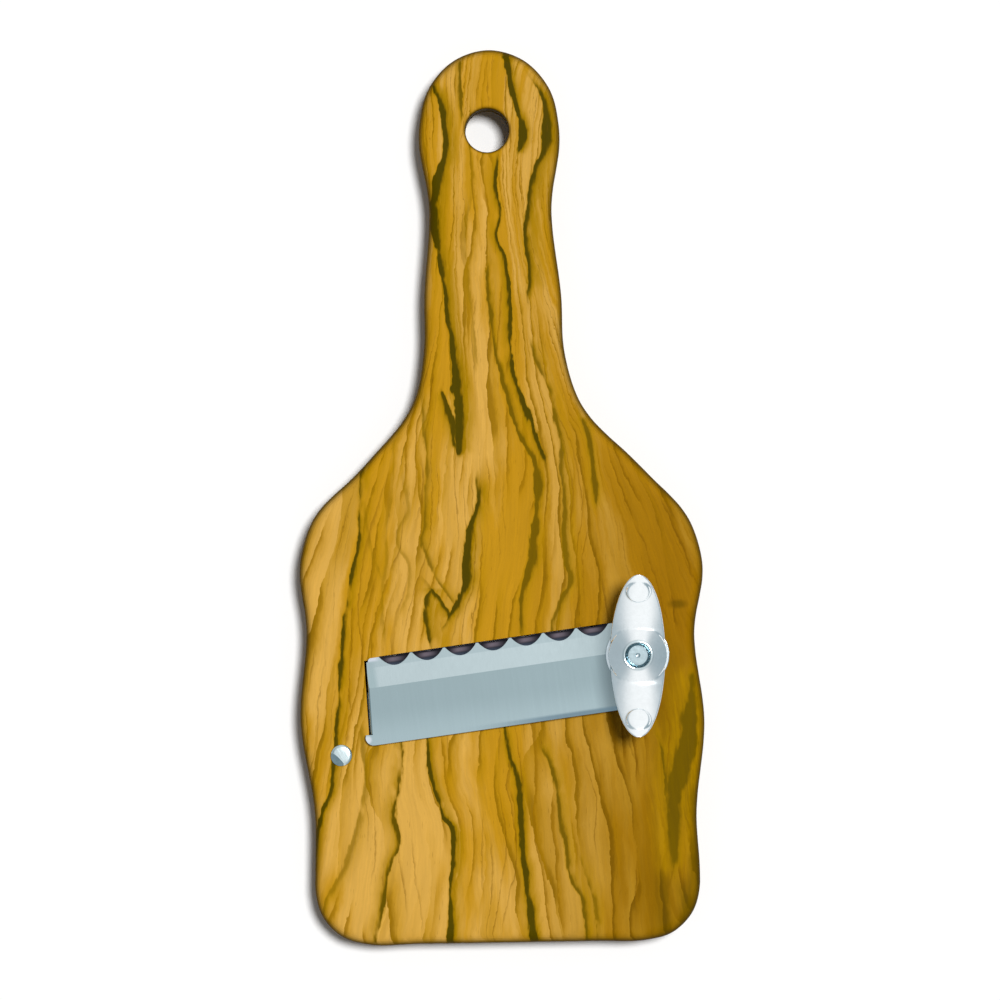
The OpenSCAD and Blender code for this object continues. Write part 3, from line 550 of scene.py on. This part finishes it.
def blade_scallop_steel():
    """The scallops' hollows, painted dark for the dark that they reflect, with a painted purple-grey
    highlight in the middle of each and a painted blue-dark lower edge
    """
    # The hollows' dark base colour is painted shade, for the dark that they reflect
    material, tree, shader = metal(
        "blade_scallops", srgb(40, 38, 44), 0.4, spread=0.15, grain=(4.0, 0.4, 4.0), turn=BLADE_ANGLE
    )
    x, y = blade_axes(tree)
    aside = tree.math("PINGPONG", tree.math("SUBTRACT", x, FIRST_SCALLOP), SCALLOP_PITCH / 2)
    deep = tree.math("SUBTRACT", BLADE_EDGE_Y, y)
    gleam = tree.math("MULTIPLY", tree.remap(aside, 3.4, 0.4), tree.remap(deep, 0.3, 0.8))
    gleam = tree.math("MULTIPLY", gleam, tree.remap(deep, 1.9, 1.2))
    low = tree.remap(deep, 1.3, 2.3)
    # A painted blue-dark lower edge and a painted purple-grey highlight
    return painted(material, tree, shader, (
        (tree.math("MULTIPLY", low, 0.75), srgb(66, 76, 92)),
        (tree.math("MULTIPLY", gleam, 0.9), srgb(112, 102, 112)),
    ))


def nut_casting():
    """Bright plated casting, with painted shade in its creases and round its bore"""
    material, tree, shader = metal(
        "plated_casting", srgb(244, 249, 251), 0.12, spread=0.03, grain=(0.8, 0.8, 0.8), relief=0.1
    )
    # Painted shade: the creases darkened by occlusion, and a grey ring round the bore
    open_sky = tree.add("ShaderNodeAmbientOcclusion", {"Distance": 1.1 * MM}, out=1)
    crease = tree.remap(open_sky, 0.9, 0.45)
    out = length_of(tree, from_bolt(tree))
    return painted(material, tree, shader, (
        (tree.math("MULTIPLY", crease, 0.75), srgb(136, 152, 158)),
        (tree.math("MULTIPLY", tree.remap(out, 4.1, 3.5), 0.75), srgb(168, 186, 191)),
    ))


def bolt_end_steel():
    """Grey steel with a painted highlight at its centre and painted shade towards its rim"""
    material, tree, shader = metal(
        "bolt_steel", srgb(168, 186, 192), 0.14, spread=0.05, grain=(1.2, 1.2, 1.2)
    )
    out = length_of(tree, from_bolt(tree))
    # Painted shade towards the rim, and a painted highlight at the centre
    return painted(material, tree, shader, (
        (tree.math("MULTIPLY", tree.remap(out, 1.7, 2.4), 0.6), srgb(150, 168, 175)),
        (tree.remap(out, 0.55, 0.1), srgb(228, 238, 242)),
    ))


# Meshes

def link(name, mesh, *materials):
    piece = bpy.data.objects.new(name, mesh)
    bpy.context.scene.collection.objects.link(piece)
    for material in materials:
        mesh.materials.append(material)
    return piece


def smooth(mesh, sharp_angle):
    mesh.polygons.foreach_set("use_smooth", [True] * len(mesh.polygons))
    mesh.set_sharp_from_angle(angle=math.radians(sharp_angle))


def weighted(piece):
    modifier = piece.modifiers.new("weighted_normals", "WEIGHTED_NORMAL")
    modifier.keep_sharp = True
    modifier.weight = 80


def baked(piece):
    """Applies the piece's modifiers to its mesh"""
    done = bpy.data.meshes.new_from_object(piece.evaluated_get(bpy.context.evaluated_depsgraph_get()))
    piece.modifiers.clear()
    piece.data = done


def lathe(profile, steps=96, middle=(0, 0), unit=MM, ring=False):
    """A solid turned about an upright axis, from (radius, height) points that run down its outside

    Its ends are closed by flat faces, or the last point is joined to the first in a ring.
    """
    turns = [2 * math.pi * k / steps for k in range(steps)]
    verts = [
        ((middle[0] + r * math.cos(a)) * unit, (middle[1] + r * math.sin(a)) * unit, z * unit)
        for r, z in profile for a in turns
    ]
    last = len(profile) - 1
    pairs = [(j, j + 1) for j in range(last)]
    faces = []
    if ring:
        pairs.append((last, 0))
    else:
        faces = [tuple(range(steps)), tuple(last * steps + k for k in range(steps))[::-1]]
    for upper, lower in pairs:
        for k in range(steps):
            n = (k + 1) % steps
            faces.append((upper * steps + k, lower * steps + k, lower * steps + n, upper * steps + n))
    mesh = bpy.data.meshes.new("turned")
    mesh.from_pydata(verts, [], faces)
    return mesh


def solid_between(first, second):
    """A closed solid between two outlines of as many points, all in metres"""
    count = len(first)
    faces = [tuple(range(count))[::-1], tuple(range(count, 2 * count))]
    faces += [(k, (k + 1) % count, count + (k + 1) % count, count + k) for k in range(count)]
    mesh = bpy.data.meshes.new("prism")
    mesh.from_pydata(first + second, [], faces)
    return mesh


def prism(points, low, high):
    """An upright prism over a closed outline, all in metres"""
    return solid_between(*([(p[0], p[1], z) for p in points] for z in (low, high)))


def cylinder(middle, radius, low, high, steps=96):
    turns = [2 * math.pi * k / steps for k in range(steps)]
    outline = [(middle[0] + radius * math.cos(a), middle[1] + radius * math.sin(a)) for a in turns]
    return prism(outline, low, high)


def rotated(x, y, degrees):
    a = math.radians(degrees)
    return x * math.cos(a) - y * math.sin(a), x * math.sin(a) + y * math.cos(a)


def on_blade(x, y):
    """A place in the blade's own frame, in millimetres, put on the board in metres"""
    x, y = rotated(x, y, BLADE_ANGLE)
    return BOLT.x + x * MM, BOLT.y + y * MM


def on_fold(x, y):
    """The same for a place beside the fold at the blade's left end"""
    x, y = rotated(x, y, FOLD_SKEW)
    return on_blade(FOLD_CORNER[0] + x, FOLD_CORNER[1] + y)


# Board

def widest_ring(node, level):
    """The board's outline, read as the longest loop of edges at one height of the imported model"""
    bm = bmesh.new()
    bm.from_mesh(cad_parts[node].data)
    bmesh.ops.remove_doubles(bm, verts=bm.verts, dist=1e-6)
    at_level = {v for v in bm.verts if abs(v.co.z - level) < 1e-6}
    neighbours = {}
    for v in at_level:
        neighbours[v] = [e.other_vert(v) for e in v.link_edges if e.other_vert(v) in at_level]
    loops, seen = [], set()
    for start in sorted(at_level, key=lambda v: v.index):
        if start in seen or len(neighbours[start]) != 2:
            continue
        loop, here = [start], neighbours[start][0]
        seen.add(start)
        while here not in seen:
            seen.add(here)
            loop.append(here)
            onward = [v for v in neighbours[here] if v not in seen]
            if not onward:
                break
            here = onward[0]
        loops.append([Vector((v.co.x, v.co.y)) for v in loop])
    longest = max(loops, key=lambda ring: max(p.y for p in ring) - min(p.y for p in ring))
    bm.free()
    turn = sum(a.x * b.y - b.x * a.y for a, b in zip(longest, longest[1:] + longest[:1]))
    return longest if turn > 0 else longest[::-1]


def smooth_ring(points, step):
    """A smooth closed curve through the points, cut into short equal steps of each stretch"""
    count = len(points)
    lengths = [(points[(i + 1) % count] - points[i]).length for i in range(count)]

    def slope(i):
        before, after = lengths[i - 1], lengths[i]
        back = (points[i] - points[i - 1]) / before
        ahead = (points[(i + 1) % count] - points[i]) / after
        return (back * after + ahead * before) / (before + after)

    ring = []
    for i in range(count):
        span, pieces = lengths[i], max(1, round(lengths[i] / step))
        for k in range(pieces):
            t = k / pieces
            ring.append(
                (2 * t ** 3 - 3 * t ** 2 + 1) * points[i]
                + (t ** 3 - 2 * t ** 2 + t) * span * slope(i)
                + (3 * t ** 2 - 2 * t ** 3) * points[(i + 1) % count]
                + (t ** 3 - t ** 2) * span * slope((i + 1) % count)
            )
    return ring


def drawn_in(ring, distance):
    count = len(ring)
    moved = []
    for i in range(count):
        run = (ring[(i + 1) % count] - ring[i - 1]).normalized()
        moved.append(ring[i] + distance * Vector((-run.y, run.x)))
    return moved


def slab(ring, steps=8):
    """The board before its holes: rings of the outline round both edges, and a flat face on each side"""
    quarter = [math.pi / 2 * k / steps for k in range(steps + 1)]
    flat = 0.5 * MM
    levels = [(0.0, EDGE_R + flat)]
    levels += [(EDGE_R * (1 - math.cos(a)), EDGE_R * (1 - math.sin(a))) for a in quarter]
    levels += [(BOARD_TOP - z, inset) for z, inset in reversed(levels)]
    count = len(ring)
    verts = [(p.x, p.y, z) for z, inset in levels for p in drawn_in(ring, inset)]
    faces = [tuple(range(count))[::-1], tuple(range((len(levels) - 1) * count, len(levels) * count))]
    for j in range(len(levels) - 1):
        for i in range(count):
            n = (i + 1) % count
            faces.append((j * count + i, j * count + n, (j + 1) * count + n, (j + 1) * count + i))
    mesh = bpy.data.meshes.new("slab")
    mesh.from_pydata(verts, [], faces)
    return mesh


def hanging_hole_cutter():
    """The hanging hole with both of its rounded lips"""
    top, past, arc = BOARD_TOP / MM, 1.0, 8
    lip = []
    for k in range(arc + 1):
        a = math.pi / 2 * k / arc
        lip.append((HOLE_R + LIP_R * (1 - math.cos(a)), LIP_R * (1 - math.sin(a))))
    profile = [(HOLE_R + LIP_R, top + past)] + [(r, top - z) for r, z in lip[::-1]] + lip
    profile.append((HOLE_R + LIP_R, -past))
    return lathe(profile, middle=HOLE_MM)


def throat_cutter():
    """The throat: upright above, and slanting away under the blade to the back"""
    x0, x1 = -63.7, -6.0
    front_w, back_w = 9, 16
    top, lip, past = BOARD_TOP / MM, BOARD_TOP / MM - 3, 1
    wall = BLADE_EDGE_Y + THROAT_GAP
    outline = [
        (wall, -past), (wall, top + past), (wall - front_w, top + past), (wall - front_w, lip),
        (wall - back_w, 0), (wall - back_w, -past),
    ]
    return solid_between(*([(*on_blade(x, y), z * MM) for y, z in outline] for x in (x0, x1)))


def slit_cutter():
    """The slit for the blade's leg, with room at its sides and ends"""
    left, right, end = 0.6, 2.4, 0.4
    low, high = LEG_LOW - end, LEG_HIGH + end
    corners = [on_fold(x, y) for x, y in ((-left, low), (right, low), (right, high), (-left, high))]
    return prism(corners, -MM, BOARD_TOP + MM)


def recess_cutter():
    """The pocket in the back for the hook: a straight run that ends in a round eye"""
    radius, depth, steps = 5.4, 5.2, 40
    straight_end = 2.7
    # The run points from the eye to the leg's middle, a third of the way up it
    eye, aim = Vector(PIN_IN_FOLD), Vector((0.75, (LEG_LOW + LEG_HIGH) / 3))
    angle = math.atan2(aim.y - eye.y, aim.x - eye.x)
    along = Vector((math.cos(angle), math.sin(angle)))
    aside = Vector((-along.y, along.x))
    ring = []
    for k in range(steps + 1):
        a = angle + math.pi / 2 + math.pi * k / steps
        ring.append(eye + radius * Vector((math.cos(a), math.sin(a))))
    for start in (eye - radius * aside, eye + radius * aside):
        ring.append(start + along * ((straight_end - start.x) / along.x))
    return prism([on_fold(p.x, p.y) for p in ring], -MM, depth * MM)


def square_cutter(side, low, high):
    h = side / 2
    return prism([on_blade(x, y) for x, y in ((-h, -h), (h, -h), (h, h), (-h, h))], low, high)


def make_board(material):
    ring = smooth_ring(widest_ring("board", BOARD_TOP - EDGE_R), 0.9 * MM)
    board = link("board_wood", slab(ring), material)
    cutters = [
        hanging_hole_cutter(),
        throat_cutter(),
        slit_cutter(),
        recess_cutter(),
        cylinder(PIN, PIN_HOLE_R * MM, -MM, BOARD_TOP + MM, 48),
        cylinder(BOLT, HEAD_RECESS_R * MM, -MM, HEAD_RECESS_DEPTH * MM),
        square_cutter(NECK_HOLE, 2 * MM, BOARD_TOP - 2 * MM),
        cylinder(BOLT, SPRING_WELL_R * MM, SPRING_WELL_FLOOR * MM, BOARD_TOP + MM),
    ]
    helpers = []
    for k, mesh in enumerate(cutters):
        helper = link("cutter_%d" % k, mesh)
        helpers.append(helper)
        cut = board.modifiers.new("cut_%d" % k, "BOOLEAN")
        cut.operation = "DIFFERENCE"
        cut.solver = "EXACT"
        cut.object = helper
    baked(board)
    for helper in helpers:
        bpy.data.objects.remove(helper)
    smooth(board.data, 30)
    weighted(board)
    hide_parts("board")
    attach(board, "board")
    return board


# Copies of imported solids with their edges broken

def dressed(node, body, material, break_mm):
    sharp_angle = 30
    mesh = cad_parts[node].data.copy()
    mesh.materials.clear()
    bm = bmesh.new()
    bm.from_mesh(mesh)
    bmesh.ops.remove_doubles(bm, verts=bm.verts, dist=1e-6)
    bmesh.ops.dissolve_limit(bm, angle_limit=math.radians(0.3), verts=bm.verts, edges=bm.edges)
    bm.to_mesh(mesh)
    bm.free()
    piece = link(node + "_finished", mesh, material)
    smooth(mesh, sharp_angle)
    bevel = piece.modifiers.new("broken_edges", "BEVEL")
    bevel.width = break_mm * MM
    bevel.segments = 3
    bevel.limit_method = "ANGLE"
    bevel.angle_limit = math.radians(sharp_angle)
    bevel.miter_outer = "MITER_ARC"
    baked(piece)
    piece.data.polygons.foreach_set("use_smooth", [True] * len(piece.data.polygons))
    piece.data.set_sharp_from_angle(angle=math.radians(50))
    weighted(piece)
    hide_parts(node)
    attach(piece, body)
    return piece


def make_blade():
    blade = dressed("blade", "blade", blade_flat_steel(), 0.1)
    blade.data.materials.append(blade_ground_steel())
    blade.data.materials.append(blade_scallop_steel())
    for face in blade.data.polygons:
        place = (face.center - BOLT) / MM
        x, y = rotated(place.x, place.y, -BLADE_ANGLE)
        tilt = rotated(face.normal.x, face.normal.y, -BLADE_ANGLE)[1]
        # Large plane faces are shaded flat, so that no rounded edge pulls at them
        if face.area > 2 * MM ** 2 and abs(face.normal.z) > 0.985:
            face.use_smooth = False
        if y > BLADE_EDGE_Y - SCALLOP_DEPTH - 0.4 and 0.2 < face.normal.z < 0.97 and tilt > 0.2 and x < 2:
            face.material_index = 2
        elif y > BLADE_EDGE_Y - BEVEL_W - 0.2 and face.normal.z > 0.95 and tilt > 0.05:
            face.material_index = 1
    return blade


# Pin

def make_pin():
    """The riveted pin: its low domed head has one side ground flat, aslant"""
    head_r = (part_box("fixing_pin")[1][0] - PIN.x) / MM
    shank_r, tail_r, tail_low, tail_h = 1.75, 2.7, 0.4, 1.2
    chord, slope = 0.9, 0.28
    towards = Vector((-0.69, -0.72, 0))
    top = BOARD_TOP / MM
    # Radii as shares of the head's, with heights in millimetres: a dome, a fine groove and a rounded rim
    head = [
        (0.2, 0.9), (0.45, 0.89), (0.7, 0.86), (0.84, 0.82), (0.88, 0.76), (0.91, 0.78), (0.95, 0.72),
        (0.985, 0.58), (1.0, 0.4), (1.0, 0.0),
    ]
    profile = [(r * head_r, top + z) for r, z in head]
    profile += [
        (shank_r, top), (shank_r, tail_low + tail_h), (tail_r, tail_low + tail_h), (tail_r, tail_low + 0.3),
        (tail_r - 0.3, tail_low),
    ]
    mesh = lathe(profile, unit=1)
    bm = bmesh.new()
    bm.from_mesh(mesh)
    # The facet: a plane through the chord that slopes down to the head's rim
    cut = bmesh.ops.bisect_plane(
        bm,
        geom=bm.verts[:] + bm.edges[:] + bm.faces[:],
        clear_outer=True,
        plane_co=towards * chord + Vector((0, 0, top + 0.89)),
        plane_no=(towards * slope + Vector((0, 0, 1))).normalized(),
    )
    rim = [e for e in cut["geom_cut"] if isinstance(e, bmesh.types.BMEdge)]
    filled = bmesh.ops.contextual_create(bm, geom=rim, mat_nr=1)
    for face in filled["faces"]:
        face.material_index = 1
    placed = Matrix.Translation((PIN.x, PIN.y, 0)) @ Matrix.Scale(MM, 4)
    bmesh.ops.transform(bm, matrix=placed, verts=bm.verts)
    bm.to_mesh(mesh)
    bm.free()
    grain = (3.0, 0.5, 3.0)
    bright = metal("pin_metal", srgb(190, 205, 208), 0.16, spread=0.1, grain=grain, turn=35, relief=0.15)[0]
    dull = metal("pin_ground", srgb(142, 163, 170), 0.2, spread=0.12, grain=grain, turn=-45, relief=0.15)[0]
    pin = link("fixing_pin_riveted", mesh, bright, dull)
    smooth(mesh, 40)
    for face in mesh.polygons:
        if face.material_index == 1:
            face.use_smooth = False
    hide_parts("fixing_pin")
    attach(pin, "board")
    return pin


# Wing nut

# The nut's own frame: origin on its axis at its underside, wings along Y, in millimetres
CREASE_OUT, CREASE_H = 6.8, 4.8
WING_TIP, WING_HALF_W, WING_TOP = 20.0, 6.8, 12.0
WING_CROWN = 1.1
PAD_OUT, PAD_R = 15.8, 2.95
BORE_R = 3.04
HUB_R, HUB_SIDE_H, HUB_H = 7.25, 4.4, 6.0
DOME_IN_R = 3.4


def wing_height(d):
    """The wings lie level round the hub, and rise from a crease to their tips"""
    rise = max(d - CREASE_OUT, 0) / (WING_TIP - CREASE_OUT)
    return CREASE_H + (WING_TOP - CREASE_H) * min(rise, 1) ** 1.35


def wing_mesh(side):
    """One wing: a crowned plate whose plan is half an ellipse"""
    rows, cols = 44, 28
    verts, faces = [], []
    for layer in (0, 1):
        for i in range(rows + 1):
            d = 1.0 + (WING_TIP - 1.0) * math.sin(math.pi / 2 * i / rows)
            w = WING_HALF_W * math.sqrt(max(1 - (d / (WING_TIP + 0.02)) ** 2, 0)) + 0.02
            for j in range(cols + 1):
                v = -math.cos(math.pi * j / cols)
                top = wing_height(d) - WING_CROWN * v * v * (w / WING_HALF_W) ** 1.5
                thick = 2.2 - 0.8 * (d / WING_TIP) ** 2
                verts.append((v * w * MM, side * d * MM, (top - layer * thick) * MM))
    wide = cols + 1
    start = (rows + 1) * wide
    for layer in (0, 1):
        for i in range(rows):
            for j in range(cols):
                a = layer * start + i * wide + j
                quad = (a, a + 1, a + 1 + wide, a + wide)
                faces.append(quad if layer == 0 else quad[::-1])
    border = [(0, j) for j in range(cols)] + [(i, cols) for i in range(rows)]
    border += [(rows, j) for j in range(cols, 0, -1)] + [(i, 0) for i in range(rows, 0, -1)]
    ring = [i * wide + j for i, j in border]
    for k, a in enumerate(ring):
        b = ring[(k + 1) % len(ring)]
        faces.append((b, a, a + start, b + start))
    if side < 0:
        faces = [f[::-1] for f in faces]
    mesh = bpy.data.meshes.new("wing")
    mesh.from_pydata(verts, [], faces)
    return mesh


def button(radius, height, depth, steps=64):
    """A round finger pad with a low crown and a rounded edge, closed below"""
    crown, edge, arc = 0.22, 0.45, 6
    profile = [(radius * t, height - crown * t * t) for t in (0.25, 0.5, 0.7, 1 - edge / radius)]
    low = profile[-1][1] - edge
    profile += [(radius - edge + edge * math.sin(a), low + edge * math.cos(a))
                for a in (math.pi / 2 * k / arc for k in range(1, arc + 1))]
    profile.append((radius, -depth))
    verts, faces = [(0, 0, height * MM)], []
    for r, z in profile:
        for s in range(steps):
            a = 2 * math.pi * s / steps
            verts.append((r * math.cos(a) * MM, r * math.sin(a) * MM, z * MM))
    for s in range(steps):
        faces.append((0, 1 + s, 1 + (s + 1) % steps))
    for j in range(len(profile) - 1):
        for s in range(steps):
            a, b = 1 + j * steps + s, 1 + j * steps + (s + 1) % steps
            faces.append((a, a + steps, b + steps, b))
    faces.append(tuple(1 + (len(profile) - 1) * steps + s for s in range(steps))[::-1])
    mesh = bpy.data.meshes.new("button")
    mesh.from_pydata(verts, [], faces)
    return mesh


def hub_profile(steps=8):
    """The hub's section: a rounded foot, an upright side and a low dome that ends at the bore's lip"""
    foot = [(BORE_R, 0.0), (HUB_R - 0.35, 0.0), (HUB_R - 0.1, 0.2), (HUB_R, 0.6)]
    dome = []
    for k in range(steps + 1):
        t = k / steps
        rise = (HUB_H - HUB_SIDE_H) * (1 - (1 - t) ** 1.15)
        dome.append((HUB_R + (DOME_IN_R - HUB_R) * t, HUB_SIDE_H + rise))
    lip = [(BORE_R + 0.16, HUB_H - 0.02), (BORE_R, HUB_H - 0.15)]
    return foot + dome + lip


def make_wing_nut(material):
    pad_tilt = math.radians(6)
    parts = [lathe(hub_profile()[::-1], 128, ring=True)]
    for side in (1, -1):
        parts.append(wing_mesh(side))
        pad = button(PAD_R, 0.7, 2.0)
        slope = math.atan2(wing_height(PAD_OUT + 0.1) - wing_height(PAD_OUT - 0.1), 0.2) - pad_tilt
        pad.transform(Matrix.Translation((0, side * PAD_OUT * MM, wing_height(PAD_OUT) * MM))
                      @ Matrix.Rotation(side * slope, 4, "X"))
        parts.append(pad)
    bm = bmesh.new()
    for mesh in parts:
        bm.from_mesh(mesh)
    bmesh.ops.recalc_face_normals(bm, faces=bm.faces)
    mesh = bpy.data.meshes.new("wing_nut")
    bm.to_mesh(mesh)
    bm.free()
    mesh.transform(Matrix.Translation((BOLT.x, BOLT.y, NUT_BASE)))
    nut = link("wing_nut_cast", mesh, material)
    remesh = nut.modifiers.new("cast", "REMESH")
    remesh.mode = "VOXEL"
    remesh.voxel_size = 0.15 * MM
    soften = nut.modifiers.new("soften", "SMOOTH")
    soften.factor = 0.5
    soften.iterations = 9
    baked(nut)
    if not nut.data.materials:
        nut.data.materials.append(material)
    nut.data.polygons.foreach_set("use_smooth", [True] * len(nut.data.polygons))
    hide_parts("wing_nut")
    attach(nut, "wing_nut")
    return nut


# Spring

def make_spring(material):
    """The lift spring as one round wire, which follows the board below and the washer above"""
    low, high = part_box("lift_spring")
    wire = 0.4
    radius = (high[0] - low[0]) / 2 / MM - wire
    z0, z1 = low[2] / MM + wire, high[2] / MM - wire
    turns, per_turn, sides = 3.5, 64, 16
    rings = int(turns * per_turn)
    verts, faces = [], []
    for j in range(rings + 1):
        a = 2 * math.pi * j / per_turn
        z = z0 + (z1 - z0) * j / rings
        for k in range(sides):
            b = 2 * math.pi * k / sides
            r = radius + wire * math.cos(b)
            level = (z + wire * math.sin(b)) * MM
            verts.append((BOLT.x + r * math.cos(a) * MM, BOLT.y + r * math.sin(a) * MM, level))
    for j in range(rings):
        for k in range(sides):
            p, q = j * sides + k, j * sides + (k + 1) % sides
            faces.append((p, q, q + sides, p + sides))
    faces.append(tuple(range(sides))[::-1])
    faces.append(tuple(range(rings * sides, (rings + 1) * sides)))
    mesh = bpy.data.meshes.new("spring")
    mesh.from_pydata(verts, [], faces)
    spring = link("lift_spring_wire", mesh, material)
    smooth(mesh, 50)
    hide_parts("lift_spring")
    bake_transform(spring)
    return spring


# Light, floor, camera

# The lamps' level: what the world gives, and what the sun gives to a level face, add up to white on the floor
AMBIENT = 0.15
SUN_SHARE = 0.88
SUN_TOWARDS = Vector((0.22, 0.17, 1.0)).normalized()
SUN_WIDTH = 14
# How bright metal sees the room, from its left side at 0 to its right side at 1
ROOM = [
    (0.0, 0.2), (0.2, 0.15), (0.32, 0.4), (0.42, 0.86), (0.5, 1.0), (0.6, 1.0), (0.68, 0.7), (0.78, 0.2),
    (0.9, 0.05), (1.0, 0.0),
]


def make_stage():
    floor_mesh = prism([(-3, -3), (3, -3), (3, 3), (-3, 3)], -0.01, 0.0)
    material, tree, shader = new_material("floor_white")
    shader.inputs["Base Color"].default_value = (1, 1, 1, 1)
    shader.inputs["Roughness"].default_value = 0.9
    shader.inputs["Specular IOR Level"].default_value = 0.0
    floor = link("floor", floor_mesh, material)


def make_light():
    """A soft room that metal sees as white above and before it, and darker to its sides, and one lamp"""
    world = bpy.data.worlds.new("studio")
    bpy.context.scene.world = world
    world.use_nodes = True
    tree = Tree(world.node_tree.nodes, world.node_tree.links)
    split = tree.add("ShaderNodeSeparateXYZ", {0: tree.add("ShaderNodeTexCoord")})
    aside = tree.math("MULTIPLY_ADD", split, 0.5, 0.5)
    room = tree.mix(tree.curve(aside, ROOM), (0.30, 0.38, 0.42, 1), (1, 1, 1, 1))
    rays = tree.nodes.new("ShaderNodeLightPath").outputs
    seen = tree.math("MAXIMUM", rays["Is Glossy Ray"], rays["Is Transmission Ray"])
    strength = tree.mix(seen, (AMBIENT, AMBIENT, AMBIENT, 1), room)
    strength = tree.mix(rays["Is Camera Ray"], strength, (1, 1, 1, 1))
    background = world.node_tree.nodes["Background"]
    tree.feed(background.inputs["Color"], strength)
    background.inputs["Strength"].default_value = 1.0

    sun = bpy.data.lights.new("key", "SUN")
    sun.energy = SUN_SHARE * math.pi / SUN_TOWARDS.z
    sun.angle = math.radians(SUN_WIDTH)
    key = bpy.data.objects.new("key", sun)
    key.rotation_euler = SUN_TOWARDS.to_track_quat("Z", "Y").to_euler()
    bpy.context.scene.collection.objects.link(key)


def make_camera():
    data = bpy.data.cameras.new("camera")
    camera = bpy.data.objects.new("camera", data)
    bpy.context.scene.collection.objects.link(camera)
    camera.location = (VIEW_CENTRE_MM[0] * MM, VIEW_CENTRE_MM[1] * MM, BOARD_TOP + CAMERA_HEIGHT)
    data.sensor_width = 36
    to_outline = CAMERA_HEIGHT + BOARD_TOP / 2
    data.lens = data.sensor_width * to_outline / (IMAGE_PX / PX_PER_MM * MM)
    data.clip_start = 0.01
    data.clip_end = 20
    bpy.context.scene.camera = camera


make_camera()
make_board(olive_wood())
make_blade()
make_wing_nut(nut_casting())
make_spring(metal("spring_wire", srgb(170, 172, 176), 0.3)[0])
dressed("nut_washer", "washer", metal("washer_bright", srgb(190, 203, 210), 0.15)[0], 0.15)
dressed("adjusting_bolt", "board", bolt_end_steel(), 0.12)
make_pin()
pin_washer_steel = metal("pin_washer_metal", srgb(180, 184, 180), 0.35)[0]
dressed("pin_washer", "board", pin_washer_steel, 0.08)
make_stage()
make_light()

bpy.context.scene.view_settings.view_transform = "Standard"
